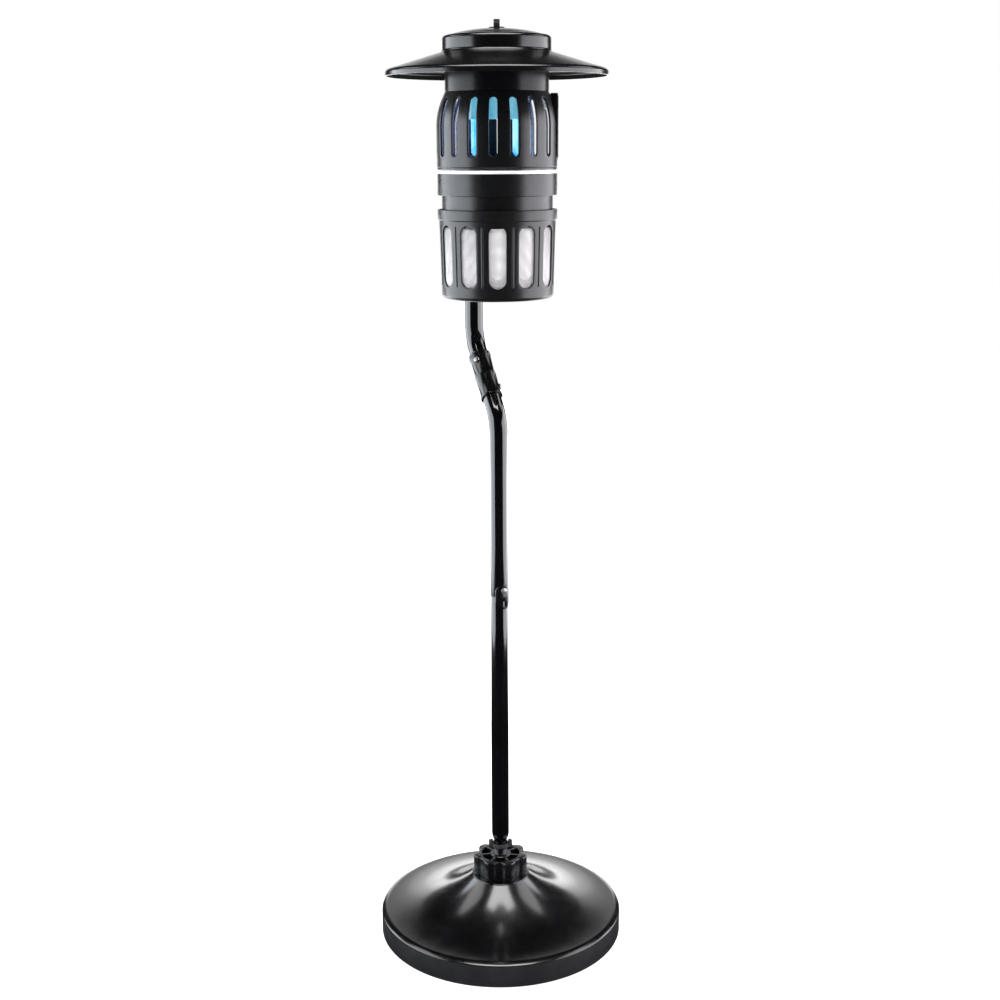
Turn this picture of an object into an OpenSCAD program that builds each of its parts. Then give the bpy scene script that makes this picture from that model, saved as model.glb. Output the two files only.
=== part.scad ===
// Pole-mounted insect trap: ultraviolet lamps and a fan in a slotted head, a catch basket below it,
// a three-piece mast with an offset bend, and a weighted round foot.
// Millimetres, +Z up, the origin on the floor under the middle of the foot, the front towards -Y.

/* [Foot] */
// Radius of the weighted foot
foot_r = 155; // [150:1:160]
// Height of the foot's upright rim
foot_rim_h = 30; // [22:1:34]
// Height where the curved top meets the middle boss
foot_top_z = 75; // [66:0.5:78]
// Radius of the middle boss
boss_r = 37; // [35:0.5:38]
// Height of the middle boss
boss_z = 76.5; // [70:0.5:81]
// Height that the rubber feet lift the rim off the floor
feet_h = 1.5; // [1:0.1:2]

/* [Lock knob] */
// Largest radius of the knob, over its lobes
knob_r = 35; // [34:0.5:37]
// Number of lobes
knob_lobes = 7; // [5:1:8]
// Height of the knob's top above the floor
knob_top_z = 103; // [98:0.5:104]

/* [Mast] */
// Outer radius of the lower tube
lower_tube_r = 11.1; // [10.9:0.1:11.3]
// Outer radius of the middle and upper tubes
tube_r = 11.5; // [11.4:0.1:11.8]
// Wall of every tube
tube_wall = 1.2; // [1:0.1:1.3]
// Height of the joint between the lower and middle tubes
mid_joint_z = 453; // [430:1:470]
// Height of the corner where the mast leaves the middle axis
bend_z = 674; // [660:1:676]
// Distance that the offset carries the upper tube to the back
offset_run = 89.2; // [89:0.1:90]
// Direction of the offset, counted from +X
offset_az = 109.65; // [105:0.5:115]
// Radius of the two bends at the tube's middle
bend_r = 50; // [45:1:52]
// Length of the sleeve that joins the two bent tubes
sleeve_l = 65; // [60:1:68]

/* [Catch basket] */
// Underside of the basket
basket_z = 822; // [820:1:824]
// Outer radius at the bottom of the basket
basket_r = 66.6; // [66:0.1:67]
// Outer radius under the basket's rim
basket_top_r = 68.9; // [68.5:0.1:69.2]
// Number of slots around the basket
basket_slots = 12; // [8:2:12]
// Width of each basket slot
basket_slot_w = 20.8; // [16:0.2:21]

/* [Head] */
// Outer radius of the band around the fan
band_r = 70.2; // [70:0.1:70.5]
// Outer radius of the neck that the basket slides over
neck_r = 65.3; // [65:0.1:65.5]
// Radius of the air duct
duct_r = 58.5; // [57:0.5:59]
// Height of the band's lower edge
band_z = 941; // [940:0.5:942]
// Height of the bright trim ring's underside
trim_z = 966; // [965:0.5:967]
// Outer radius of the bright trim ring
trim_r = 71.6; // [71.2:0.1:74]
// Outer radius of the lamp cage
cage_r = 70.3; // [70:0.1:70.6]
// Number of slots around the lamp cage
cage_slots = 18; // [16:1:20]
// Width of each cage slot
cage_slot_w = 9.9; // [8:0.1:10]
// Turn of the front slot from the front
cage_phase = -3.7; // [-5:0.1:5]
// Number of fan blades
fan_blades = 7; // [5:1:9]

/* [Hood] */
// Outer radius of the collar under the roof
collar_r = 60.35; // [60:0.05:60.5]
// Outer radius of the roof brim
roof_r = 129; // [120:1:135]
// Outer radius of the round cap
cap_r = 63; // [62:0.5:64]
// Height of the top of the hanging eye
eye_top_z = 1138; // [1136:1:1140]

/* [Hidden] */
$fn = 72;
eps = 0.02;
fit = 0.05;

foot_wall = 3;
pan_t = 3;
foot_z0 = feet_h;
foot_edge = 5;
foot_pan_r = foot_r - foot_wall - 0.5;
foot_screw_r = foot_r - 12;
foot_screw_n = 6;
rubber_foot_r = 9;
rubber_foot_circle = 118;
bolt_circle = 25;
ballast_z0 = foot_z0 + pan_t + 0.2;
ballast_t = 15.5;
ballast_r = 135;
flange_z = ballast_z0 + ballast_t;
flange_t = 4;
flange_r = 32;
stud_r = 7.8;
stud_bore_r = stud_r + fit;
socket_r = 14;
knob_z0 = boss_z + 0.3;
neck_z0 = 112;
swage_z0 = 121;
swage_z1 = 130;
swage_r = 8.2;
spigot_l = 40;

slope_l = offset_run * sqrt(2);
tangent_l = bend_r * tan(22.5);
upper_z = bend_z + offset_run;
sleeve_r = tube_r + 1.5;
sleeve_bore_r = tube_r + fit;
sleeve_s0 = (slope_l - sleeve_l) / 2 + 2;
bracket_top_z = trim_z - 1;
socket_depth = 35;
mast_top_z = bracket_top_z - 4;

button_r = 3.6;
button_flange_r = 4.4;
button_flange_t = 1;
button_proud = 2.2;
tube_bore_r = tube_r - tube_wall;
spigot_bore_r = tube_r - 2 * tube_wall - 0.1;
mid_button_phi = 29;
mid_button_z = mid_joint_z + 8;
low_button_s = sleeve_s0 + 12;
low_button_turn = 240;
top_button_s = sleeve_s0 + sleeve_l - 12;
top_button_turn = 135;

bracket_socket_r = 15;
saddle_r = band_r + 3.2;
saddle_half = 27;
bracket_screw_turn = 20;
bracket_screw_z = [band_z + 6, trim_z - 6];

basket_rim_z0 = 913;
basket_rim_z1 = 925;
basket_rim_r = 70.5;
basket_wall = 2.2;
slot_z0 = 837;
slot_z1 = 908;
neck_z = 905;
lug_z = 909;
lug_n = 3;
lug_phi = 15;
lug_turn = 25;
basket_floor_r = 61;
basket_floor_t = 2.4;
basket_mesh_gap = 0.3;
basket_mesh_t = 0.5;

housing_spigot_r = 65.9;
housing_inner_r = 62.5;
gland_phi = 150;
gland_z = 953;

motor_z0 = 938;
motor_z1 = 958;
motor_r = 22;
shaft_r = 2;
rotor_z0 = 914;
rotor_h = 18;
guard_z = 961.5;

cage_z0 = trim_z + 4.5;
cage_wall = 2.6;
cage_top_z = 1057.5;
cage_shoulder_z = 1020;
cage_slot_z0 = 985;
cage_slot_z1 = 1051;
cage_steps = 12;
cage_screw_phis = [110, 180, 250];
cage_screw_z = cage_z0 + 1.9;
cage_lug_phi = 40;
seat_r = 57.05;
channel_phi = cage_phase + 90;
channel_w = 14;
channel_z0 = 981;
channel_z1 = 1056;
channel_in_r = 62;
wire_r = 1;
wire_path_r = 64.3;
wire_z0 = 957.6;
wire_z1 = 1043;
contact_z0 = 1038;
contact_h = 14;
blade_gap = 5;
blade_t = 0.8;
blade_z0 = 1043.5;

collar_wall = 2.4;
collar_z1 = 1100;
roof_t = 2;
roof_lip_z0 = 1075;
roof_edge_z = 1083;
cap_z0 = collar_z1 + roof_t;
cap_side_z = 1116;
cap_top_z = 1128;
cap_wall = 2;
lamp_x = 24;
lamp_tube_r = 6;
lamp_gap = 8;
lamp_z0 = 985;
holder_z0 = 1027;
board_z = 1074;
hood_screw_r = 50;
hood_screw_az = 30;
board_post_r = 36;
roof_hole_r = 44;

// ---- shared shapes ----

// A plain ring or tube between two heights
module ring(r_out, r_in, z0, z1) {
    translate([0, 0, z0])
        difference() {
            cylinder(r = r_out, h = z1 - z0);
            translate([0, 0, -1]) cylinder(r = r_in, h = z1 - z0 + 2);
        }
}

// A solid disc between two heights
module disc(r, z0, z1) {
    translate([0, 0, z0]) cylinder(r = r, h = z1 - z0);
}

// Places its children at an angle counted from the front, positive towards +X
module at_front(phi) {
    rotate([0, 0, phi]) children();
}

// A radial cut with round ends, at the front, between two heights
module round_slot(w, z0, z1, r0, r1) {
    translate([0, -r0, 0])
        rotate([90, 0, 0])
            linear_extrude(r1 - r0) {
                translate([-w / 2, z0 + w / 2]) square([w, z1 - z0 - w]);
                translate([0, z0 + w / 2]) circle(w / 2);
                translate([0, z1 - w / 2]) circle(w / 2);
            }
}

// A radial cylinder at the front
module radial_pin(r, z, r0, r1) {
    translate([0, -r0, z]) rotate([90, 0, 0]) cylinder(r = r, h = r1 - r0);
}

// A cross-recessed screw along +Z: the head stands on z = 0 and the shank hangs below it
module screw(shank_r, shank_l, head_r, head_h) {
    difference() {
        union() {
            cylinder(r = head_r, h = head_h);
            translate([0, 0, -shank_l]) cylinder(r = shank_r, h = shank_l + eps);
        }
        for (turn = [0, 90])
            rotate([0, 0, turn])
                translate([-head_r * 0.6, -0.5, head_h * 0.4]) cube([head_r * 1.2, 1, head_h]);
    }
}

// ---- foot ----

// Height of the foot's curved top at a radius
function foot_z(r) = foot_rim_h + 3 + (foot_top_z - foot_rim_h - 3)
    * pow((foot_r - foot_edge - r) / (foot_r - foot_edge - boss_r), 2.2);

// The curved top from the rim to the boss
function foot_curve(steps, drop) = [
    for (i = [0 : steps])
        let (r = foot_r - foot_edge + (boss_r - foot_r + foot_edge) * i / steps)
            [r, foot_z(r) - drop]
];

module foot_screw_places() {
    for (i = [0 : foot_screw_n - 1])
        rotate([0, 0, i * 360 / foot_screw_n + 30]) translate([foot_screw_r, 0, 0]) children();
}

module base_shell() {
    color([0.03, 0.03, 0.035])
        difference() {
            union() {
                rotate_extrude()
                    polygon(concat(
                        [[foot_r - foot_wall, foot_z0], [foot_r, foot_z0], [foot_r, foot_rim_h - 1.5]],
                        [[foot_r - 1.5, foot_rim_h + 1.2]],
                        foot_curve(22, 0),
                        [[boss_r, boss_z - 1], [boss_r - 1, boss_z]],
                        [[socket_r + 0.1, boss_z], [socket_r + 0.1, boss_z - 3]],
                        [[boss_r - foot_wall, boss_z - 3]],
                        [for (i = [10 : -1 : 0]) foot_curve(10, foot_wall)[i] + [-1.5, 0]],
                        [[foot_r - foot_wall, foot_rim_h - 3]]
                    ));
                foot_screw_places()
                    translate([0, 0, foot_z0 + pan_t + 0.1]) cylinder(r = 4.5, h = foot_rim_h - 4);
            }
            foot_screw_places() translate([0, 0, -1]) cylinder(r = 1.8, h = 20);
        }
}

module base_pan() {
    color([0.05, 0.05, 0.055])
        difference() {
            disc(foot_pan_r, foot_z0, foot_z0 + pan_t);
            foot_screw_places() {
                cylinder(r = 2.2, h = 20);
                cylinder(r = 4.2, h = foot_z0 + 1.7);
            }
            for (i = [0 : 5])
                rotate([0, 0, i * 60])
                    translate([rubber_foot_circle, 0, -1])
                        cylinder(r = rubber_foot_r + 0.1, h = 1 + foot_z0 + 0.8);
            disc(16, -1, 10);
        }
}

module rubber_feet() {
    color([0.02, 0.02, 0.02])
        for (i = [0 : 5])
            rotate([0, 0, i * 60])
                translate([rubber_foot_circle, 0, 0]) cylinder(r = rubber_foot_r, h = foot_z0 + 0.75);
}

module base_screws() {
    color([0.5, 0.5, 0.52])
        foot_screw_places()
            translate([0, 0, foot_z0 + 1.7]) mirror([0, 0, 1]) screw(1.75, 14, 3.8, 1.5);
}

module ballast_disc() {
    color([0.25, 0.25, 0.27])
        difference() {
            disc(ballast_r, ballast_z0, flange_z);
            disc(18, 0, 40);
            for (i = [0 : 2])
                rotate([0, 0, i * 120]) translate([bolt_circle, 0, 0]) cylinder(r = 2.55, h = 40);
        }
}

module base_socket() {
    color([0.35, 0.35, 0.37])
        difference() {
            union() {
                disc(flange_r, flange_z, flange_z + flange_t);
                disc(socket_r, flange_z, boss_z);
            }
            disc(stud_bore_r, 0, 100);
            for (i = [0 : 2])
                rotate([0, 0, i * 120]) translate([bolt_circle, 0, 0]) cylinder(r = 2.8, h = 40);
        }
}

module flange_bolts() {
    color([0.5, 0.5, 0.52])
        for (i = [0 : 2])
            rotate([0, 0, i * 120])
                translate([bolt_circle, 0, flange_z + flange_t])
                    difference() {
                        union() {
                            cylinder(r = 4.6, h = 4, $fn = 6);
                            translate([0, 0, -15]) cylinder(r = 2.5, h = 15 + eps);
                        }
                        translate([0, 0, 3]) cylinder(r = 2, h = 2);
                    }
}

// ---- lock knob ----

module knob_outline(r_lobe, r_reach) {
    circle(r_reach - r_lobe * 0.62);
    for (i = [0 : knob_lobes - 1])
        rotate([0, 0, 190 + i * 360 / knob_lobes]) translate([r_reach - r_lobe, 0]) circle(r_lobe);
}

module lock_knob() {
    rib_w = 3;
    color([0.04, 0.04, 0.045])
        difference() {
            union() {
                translate([0, 0, knob_z0]) linear_extrude(knob_top_z - 1.5 - knob_z0) knob_outline(9, knob_r);
                translate([0, 0, knob_top_z - 1.5 - eps]) linear_extrude(1.5) knob_outline(8.6, knob_r - 1);
            }
            difference() {
                disc(24.5, knob_top_z - 6, knob_top_z + 1);
                disc(13.5, knob_top_z - 7, knob_top_z + 2);
                for (i = [0 : knob_lobes - 1])
                    rotate([0, 0, 190 + i * 360 / knob_lobes])
                        translate([12, -rib_w / 2, knob_top_z - 7]) cube([14, rib_w, 7]);
            }
            for (i = [0 : knob_lobes - 1])
                rotate([0, 0, 190 + i * 360 / knob_lobes])
                    translate([knob_r - 8.6, 0, knob_top_z - 4]) cylinder(r = 3, h = 6);
            disc(stud_bore_r, 60, 120);
        }
}

// ---- mast ----

module pole_stud() {
    pitch = 2.4;
    thread_depth = 0.6;
    turns = 4;
    color([0.1, 0.1, 0.11]) {
        difference() {
            disc(stud_r, 7, neck_z0);
            for (i = [0 : turns - 1])
                translate([0, 0, knob_top_z + 0.4 + i * pitch])
                    rotate_extrude()
                        polygon([[stud_r - thread_depth, 0.75], [stud_r + 1, -0.2], [stud_r + 1, 1.7]]);
        }
        disc(swage_r - tube_wall - fit, neck_z0 - eps, 150);
    }
}

module stud_washer() {
    color([0.6, 0.6, 0.62]) ring(15, stud_bore_r, flange_z - 2.3, flange_z - 0.15);
}

module stud_nut() {
    color([0.6, 0.6, 0.62])
        difference() {
            translate([0, 0, 8]) cylinder(r = 14, h = flange_z - 2.4 - 8, $fn = 6);
            disc(stud_bore_r, 0, 40);
        }
}

module foot_collar() {
    ear_reach = 15.2;
    ear_z0 = neck_z0 + 0.5;
    ear_h = 8.6;
    color([0.04, 0.04, 0.045])
        difference() {
            union() {
                disc(11, ear_z0, ear_z0 + 5);
                for (side = [0, 180])
                    rotate([0, 0, side])
                        translate([ear_reach - 5.5, -4, ear_z0]) {
                            cube([3, 8, ear_h]);
                            translate([3, 4, 0]) cylinder(r = 2.5, h = ear_h);
                        }
            }
            disc(swage_r + fit, 100, 122);
        }
}

module lower_pole() {
    bore = lower_tube_r - tube_wall;
    spigot_r = tube_r - tube_wall - 0.1;
    spigot_bore = spigot_r - tube_wall;
    color([0.03, 0.03, 0.035])
        difference() {
            rotate_extrude()
                polygon([
                    [swage_r - tube_wall, neck_z0], [swage_r, neck_z0], [swage_r, swage_z0],
                    [lower_tube_r, swage_z1], [lower_tube_r, mid_joint_z - 0.2],
                    [spigot_r, mid_joint_z - 0.2], [spigot_r, mid_joint_z + spigot_l],
                    [spigot_bore, mid_joint_z + spigot_l], [spigot_bore, mid_joint_z - 2],
                    [bore, mid_joint_z - 4], [bore, swage_z1 + 0.5], [swage_r - tube_wall, swage_z0 + 0.5]
                ]);
            at_front(mid_button_phi) radial_pin(button_r + 0.1, mid_button_z, 5, 14);
        }
}

// The flat ring that a tube sweeps
module tube_ring() {
    difference() {
        circle(tube_r);
        circle(tube_r - tube_wall);
    }
}

// Places its children in the mast's bend plane: +X there runs towards the offset
module bend_plane() {
    rotate([0, 0, offset_az]) children();
}

// Places its children on the slope, with +Z along it, at a distance up the slope
module on_slope(s) {
    translate([0, 0, bend_z]) rotate([0, 45, 0]) translate([0, 0, s]) children();
}

module middle_pole() {
    s_end = slope_l / 2 - 0.2;
    color([0.03, 0.03, 0.035])
        difference() {
            bend_plane() {
                ring(tube_r, tube_r - tube_wall, mid_joint_z, bend_z - tangent_l);
                translate([bend_r, 0, bend_z - tangent_l])
                    rotate([90, 0, 0])
                        rotate([0, 0, 135])
                            rotate_extrude(angle = 45) translate([bend_r, 0]) tube_ring();
                on_slope(tangent_l) ring(tube_r, tube_r - tube_wall, 0, s_end - tangent_l);
            }
            at_front(mid_button_phi) radial_pin(button_r + 0.1, mid_button_z, 5, 14);
            slope_button_place(low_button_s, low_button_turn)
                rotate([0, 90, 0]) cylinder(r = button_r + 0.1, h = 20);
        }
}

module upper_pole() {
    color([0.03, 0.03, 0.035])
        difference() {
            bend_plane() {
                on_slope(slope_l / 2 + 0.2)
                    ring(tube_r, tube_r - tube_wall, 0, slope_l / 2 - 0.2 - tangent_l);
                translate([offset_run - bend_r, 0, upper_z + tangent_l])
                    rotate([90, 0, 0])
                        rotate([0, 0, -45])
                            rotate_extrude(angle = 45) translate([bend_r, 0]) tube_ring();
                translate([offset_run, 0, 0])
                    ring(tube_r, tube_r - tube_wall, upper_z + tangent_l, mast_top_z);
            }
            slope_button_place(top_button_s, top_button_turn)
                rotate([0, 90, 0]) cylinder(r = button_r + 0.1, h = 20);
            bracket_button_place() rotate([0, 90, 0]) cylinder(r = button_r + 0.1, h = 20);
        }
}

// Local frame of a button on the slope: +X points out of the tube, +Z up the slope
module slope_button_place(s, turn) {
    bend_plane() on_slope(s) rotate([0, 0, turn]) children();
}

module mid_button_place() {
    translate([0, 0, mid_button_z]) rotate([0, 0, mid_button_phi - 90]) children();
}

module bracket_button_place() {
    bend_plane() translate([offset_run, 0, bracket_top_z - 20]) children();
}

module offset_sleeve() {
    lip_r = sleeve_r + 0.5;
    color([0.04, 0.04, 0.045])
        difference() {
            bend_plane()
                on_slope(sleeve_s0)
                    difference() {
                        union() {
                            disc(sleeve_r, 0, sleeve_l);
                            disc(lip_r, 0, 3);
                            disc(lip_r, sleeve_l - 4, sleeve_l);
                            ring(sleeve_r + 0.2, sleeve_r - 1, sleeve_l / 2 - 1, sleeve_l / 2 + 1);
                        }
                        disc(sleeve_bore_r, -1, sleeve_l + 1);
                    }
            slope_button_place(low_button_s, low_button_turn)
                rotate([0, 90, 0]) cylinder(r = button_r + 0.1, h = 20);
            slope_button_place(top_button_s, top_button_turn)
                rotate([0, 90, 0]) cylinder(r = button_r + 0.1, h = 20);
        }
}

// A thin oblong guard that clips around the middle joint and frames its button
module joint_clip() {
    clip_w = 19;
    clip_l = 32;
    clip_r = tube_r + 0.9;
    color([0.02, 0.02, 0.022])
        mid_button_place()
            difference() {
                intersection() {
                    ring(clip_r, tube_r + fit, -clip_l / 2 - 8, clip_l / 2 - 8);
                    translate([0, 0, -8])
                        rotate([0, 90, 0])
                            linear_extrude(20) {
                                square([clip_l - clip_w, clip_w], center = true);
                                for (end = [-1, 1])
                                    translate([end * (clip_l - clip_w) / 2, 0]) circle(clip_w / 2);
                            }
                }
                rotate([0, 90, 0]) cylinder(r = button_r + 0.15, h = 20);
                translate([8, -2.2, -21]) cube([12, 4.4, 7]);
            }
}

// Depth at which a button's flange meets the inside of a round tube
function flange_x(bore_r) = sqrt(pow(bore_r - 0.1, 2) - pow(button_flange_r, 2));

// A snap button: a domed pin with a flange inside the tube, pointing along +X
module snap_button(face_r, bore_r) {
    x1 = flange_x(bore_r);
    color([0.55, 0.55, 0.57])
        rotate([0, 90, 0]) {
            translate([0, 0, x1 - button_flange_t]) cylinder(r = button_flange_r, h = button_flange_t);
            translate([0, 0, x1 - eps]) cylinder(r = button_r, h = face_r - x1 + 2 * eps);
            translate([0, 0, face_r]) cylinder(r1 = button_r, r2 = button_r - 1.4, h = button_proud);
        }
}

// The bowed leaf that pushes a snap button out
module leaf_spring(bore_r) {
    leaf_w = 5;
    leaf_t = 0.5;
    front_x = flange_x(bore_r) - button_flange_t - leaf_t - fit;
    back_x = -bore_r + 1.5;
    front_z0 = -9;
    back_z1 = -14;
    color([0.6, 0.6, 0.62])
        translate([0, leaf_w / 2, 0])
            rotate([90, 0, 0])
                linear_extrude(leaf_w)
                    polygon([
                        [front_x, 5], [front_x + leaf_t, 5], [front_x + leaf_t, front_z0 - leaf_t],
                        [back_x + leaf_t, back_z1 - leaf_t], [back_x + leaf_t, -24], [back_x, -24],
                        [back_x, back_z1], [front_x, front_z0]
                    ]);
}

module mid_button() {
    mid_button_place() snap_button(tube_r, spigot_bore_r);
}

module sleeve_low_button() {
    slope_button_place(low_button_s, low_button_turn) snap_button(sleeve_r, tube_bore_r);
}

module sleeve_top_button() {
    slope_button_place(top_button_s, top_button_turn) snap_button(sleeve_r, tube_bore_r);
}

module bracket_button() {
    bracket_button_place() snap_button(bracket_socket_r, tube_bore_r);
}

module mid_spring() {
    mid_button_place() leaf_spring(spigot_bore_r);
}

module sleeve_low_spring() {
    slope_button_place(low_button_s, low_button_turn) leaf_spring(tube_bore_r);
}

module sleeve_top_spring() {
    slope_button_place(top_button_s, top_button_turn) rotate([180, 0, 0]) leaf_spring(tube_bore_r);
}

module bracket_spring() {
    bracket_button_place() leaf_spring(tube_bore_r);
}

// ---- bracket between the mast and the head ----

module pole_bracket() {
    web_w = 20;
    color([0.04, 0.04, 0.045])
        difference() {
            bend_plane() {
                translate([offset_run, 0, 0])
                    disc(bracket_socket_r, bracket_top_z - socket_depth - 4, bracket_top_z);
                translate([band_r - 2, -web_w / 2, band_z + 1])
                    cube([offset_run - band_r + 2, web_w, bracket_top_z - band_z - 1]);
                rotate([0, 0, -saddle_half])
                    translate([0, 0, band_z + 1])
                        rotate_extrude(angle = 2 * saddle_half)
                            translate([band_r - 2, 0])
                                square([saddle_r - band_r + 2, bracket_top_z - band_z - 1]);
            }
            disc(band_r + fit, 900, 1000);
            bend_plane() {
                translate([offset_run, 0, 0]) disc(tube_r + fit, 900, mast_top_z + 0.1);
                for (turn = [-bracket_screw_turn, bracket_screw_turn])
                    for (z = bracket_screw_z)
                        rotate([0, 0, turn])
                            translate([60, 0, z]) rotate([0, 90, 0]) cylinder(r = 1.9, h = 30);
            }
            bracket_button_place() rotate([0, 90, 0]) cylinder(r = button_r + 0.1, h = 20);
        }
}

module bracket_screws() {
    color([0.5, 0.5, 0.52])
        bend_plane()
            for (turn = [-bracket_screw_turn, bracket_screw_turn])
                for (z = bracket_screw_z)
                    rotate([0, 0, turn]) translate([saddle_r, 0, z]) rotate([0, 90, 0]) screw(1.8, 9, 3.4, 2);
}

// ---- head: fan housing ----

module fan_housing() {
    color([0.035, 0.035, 0.04])
        difference() {
            union() {
                rotate_extrude()
                    polygon([
                        [duct_r, neck_z], [neck_r, neck_z], [neck_r, band_z], [band_r - 0.5, band_z],
                        [band_r, band_z + 0.5], [band_r, trim_z], [housing_spigot_r, trim_z],
                        [housing_spigot_r, trim_z + 8], [housing_inner_r, trim_z + 8],
                        [housing_inner_r, trim_z], [duct_r, trim_z]
                    ]);
                for (i = [0 : lug_n - 1])
                    at_front(lug_phi + i * 360 / lug_n)
                        rotate([0, 0, -96])
                            translate([0, 0, lug_z])
                                rotate_extrude(angle = 12) translate([neck_r - 1, 0]) square([2.1, 3]);
            }
            disc(duct_r, 900, 980);
            for (turn = [-bracket_screw_turn, bracket_screw_turn])
                for (z = bracket_screw_z)
                    bend_plane() rotate([0, 0, turn]) translate([60, 0, z]) rotate([0, 90, 0])
                        cylinder(r = 1.85, h = 30);
            for (phi = cage_screw_phis)
                at_front(phi) radial_pin(1.35, cage_screw_z, 60, 80);
            at_front(gland_phi) radial_pin(5.05, gland_z, 50, 80);
            at_front(channel_phi) {
                radial_pin(1.15, wire_z0, 50, wire_path_r + 0.4);
                translate([0, -wire_path_r, wire_z0 - 2]) cylinder(r = 1.35, h = 30);
            }
        }
}

module trim_ring() {
    color([0.85, 0.85, 0.87])
        rotate_extrude()
            polygon([
                [housing_spigot_r + fit, trim_z], [trim_r - 1, trim_z], [trim_r, trim_z + 1],
                [trim_r, cage_z0 - 1], [trim_r - 1, cage_z0], [housing_spigot_r + fit, cage_z0]
            ]);
}

module cord_gland() {
    color([0.03, 0.03, 0.035])
        at_front(gland_phi)
            difference() {
                union() {
                    radial_pin(5, gland_z, duct_r + 1, band_r + 1);
                    radial_pin(7.5, gland_z, band_r, band_r + 4);
                    radial_pin(5.5, gland_z, band_r + 3, band_r + 14);
                }
                radial_pin(3.5, gland_z, 50, band_r + 20);
                for (z = [0 : 2])
                    difference() {
                        radial_pin(8, gland_z, band_r + 5.5 + z * 2.8, band_r + 6.7 + z * 2.8);
                        radial_pin(4.7, gland_z, band_r + 5 + z * 2.8, band_r + 7 + z * 2.8);
                    }
            }
}

module intake_funnel() {
    color([0.04, 0.04, 0.045])
        difference() {
            rotate_extrude()
                polygon([
                    [duct_r + 0.1, trim_z + 0.05], [62.3, trim_z + 0.05], [62.3, trim_z + 1.8],
                    [61.2, trim_z + 4], [62.2, trim_z + 8.5], [67.3, trim_z + 17.5],
                    [67.3, trim_z + 18.6], [66.2, trim_z + 18.6], [60.6, trim_z + 9],
                    [59.3, trim_z + 4], [duct_r + 0.1, trim_z + 1]
                ]);
            at_front(channel_phi) {
                translate([0, -wire_path_r, trim_z - 1]) cylinder(r = 2.2, h = 30);
                translate([-channel_w / 2 - 0.1, -90, channel_z0 - 0.1])
                    cube([channel_w + 0.2, 90 - channel_in_r + 0.1, 20]);
            }
        }
}

module fan_guard() {
    bar = 1.6;
    color([0.04, 0.04, 0.045]) {
        for (r = [14, 24, 34, 44])
            ring(r + bar / 2, r - bar / 2, guard_z, guard_z + bar);
        ring(duct_r - 0.05, duct_r - 2.6, guard_z - 0.7, guard_z + 2.3);
        difference() {
            for (i = [0 : 5])
                rotate([0, 0, i * 60 + 20]) translate([13.5, -bar / 2, guard_z]) cube([43.5, bar, bar]);
            ring(90, duct_r - 1.5, guard_z - 2, guard_z + 3);
        }
    }
}

module motor_spider() {
    arm_w = 8;
    arm_h = 5;
    middle_z = motor_z0 + 12;
    color([0.04, 0.04, 0.045])
        difference() {
            union() {
                ring(motor_r + 2.4, motor_r - 1, middle_z - 4, middle_z + 4);
                ring(duct_r - 0.05, duct_r - 2.2, middle_z - 6, middle_z + 6);
                for (i = [0 : 2])
                    at_front(channel_phi + i * 120)
                        translate([-arm_w / 2, -duct_r + 1.5, middle_z - 2])
                            cube([arm_w, duct_r - motor_r - 2, arm_h]);
            }
            disc(motor_r + fit, middle_z - 10, middle_z + 10);
        }
}

module fan_motor() {
    color([0.45, 0.45, 0.47])
        difference() {
            union() {
                disc(motor_r, motor_z0, motor_z1 - 1.5);
                disc(motor_r - 1.5, motor_z1 - 1.5 - eps, motor_z1);
                disc(7, motor_z0 - 1.5, motor_z0 + eps);
            }
            disc(shaft_r + fit, motor_z0 - 3, motor_z1 - 4);
            for (i = [0 : 7])
                rotate([0, 0, i * 45 + 10]) translate([14, -1.2, motor_z1 - 1]) cube([5, 2.4, 3]);
        }
}

module motor_shaft() {
    color([0.7, 0.7, 0.72]) disc(shaft_r, rotor_z0 + 2, motor_z1 - 6);
}

module fan_rotor() {
    hub_r = 21;
    blade_r = duct_r - 2;
    blade_curve = 42;
    blade_t = 1.5;
    pitch = 38;
    color([0.06, 0.06, 0.065])
        difference() {
            union() {
                ring(hub_r, hub_r - 2, rotor_z0, rotor_z0 + rotor_h);
                disc(hub_r, rotor_z0, rotor_z0 + 2);
                disc(5, rotor_z0, rotor_z0 + 15);
                intersection() {
                    ring(blade_r, hub_r - 1, rotor_z0, rotor_z0 + rotor_h);
                    for (i = [0 : fan_blades - 1])
                        rotate([0, 0, i * 360 / fan_blades])
                            translate([0, 0, rotor_z0 + rotor_h / 2])
                                rotate([pitch, 0, 0])
                                    translate([0, 0, -blade_curve])
                                        rotate([0, 90, 0])
                                            difference() {
                                                cylinder(r = blade_curve + blade_t, h = 70);
                                                translate([0, 0, -1]) cylinder(r = blade_curve, h = 72);
                                                translate([-60, -60, -2]) cube([120, 45, 80]);
                                                translate([-60, 15, -2]) cube([120, 45, 80]);
                                                translate([0, -60, -2]) cube([60, 120, 80]);
                                            }
                }
            }
            disc(shaft_r + 0.02, rotor_z0 + 2, rotor_z0 + 20);
        }
}

// ---- head: lamp cage ----

// Outer radius of the lamp cage at a height: upright, then drawn in through the shoulder
function cage_outer(z) = z < cage_shoulder_z ? cage_r
    : cage_r - (cage_r - collar_r) * pow((z - cage_shoulder_z) / (cage_top_z - cage_shoulder_z), 1.85);

cage_levels = [for (i = [0 : cage_steps])
    cage_shoulder_z + (cage_top_z - cage_shoulder_z) * i / cage_steps];

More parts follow.
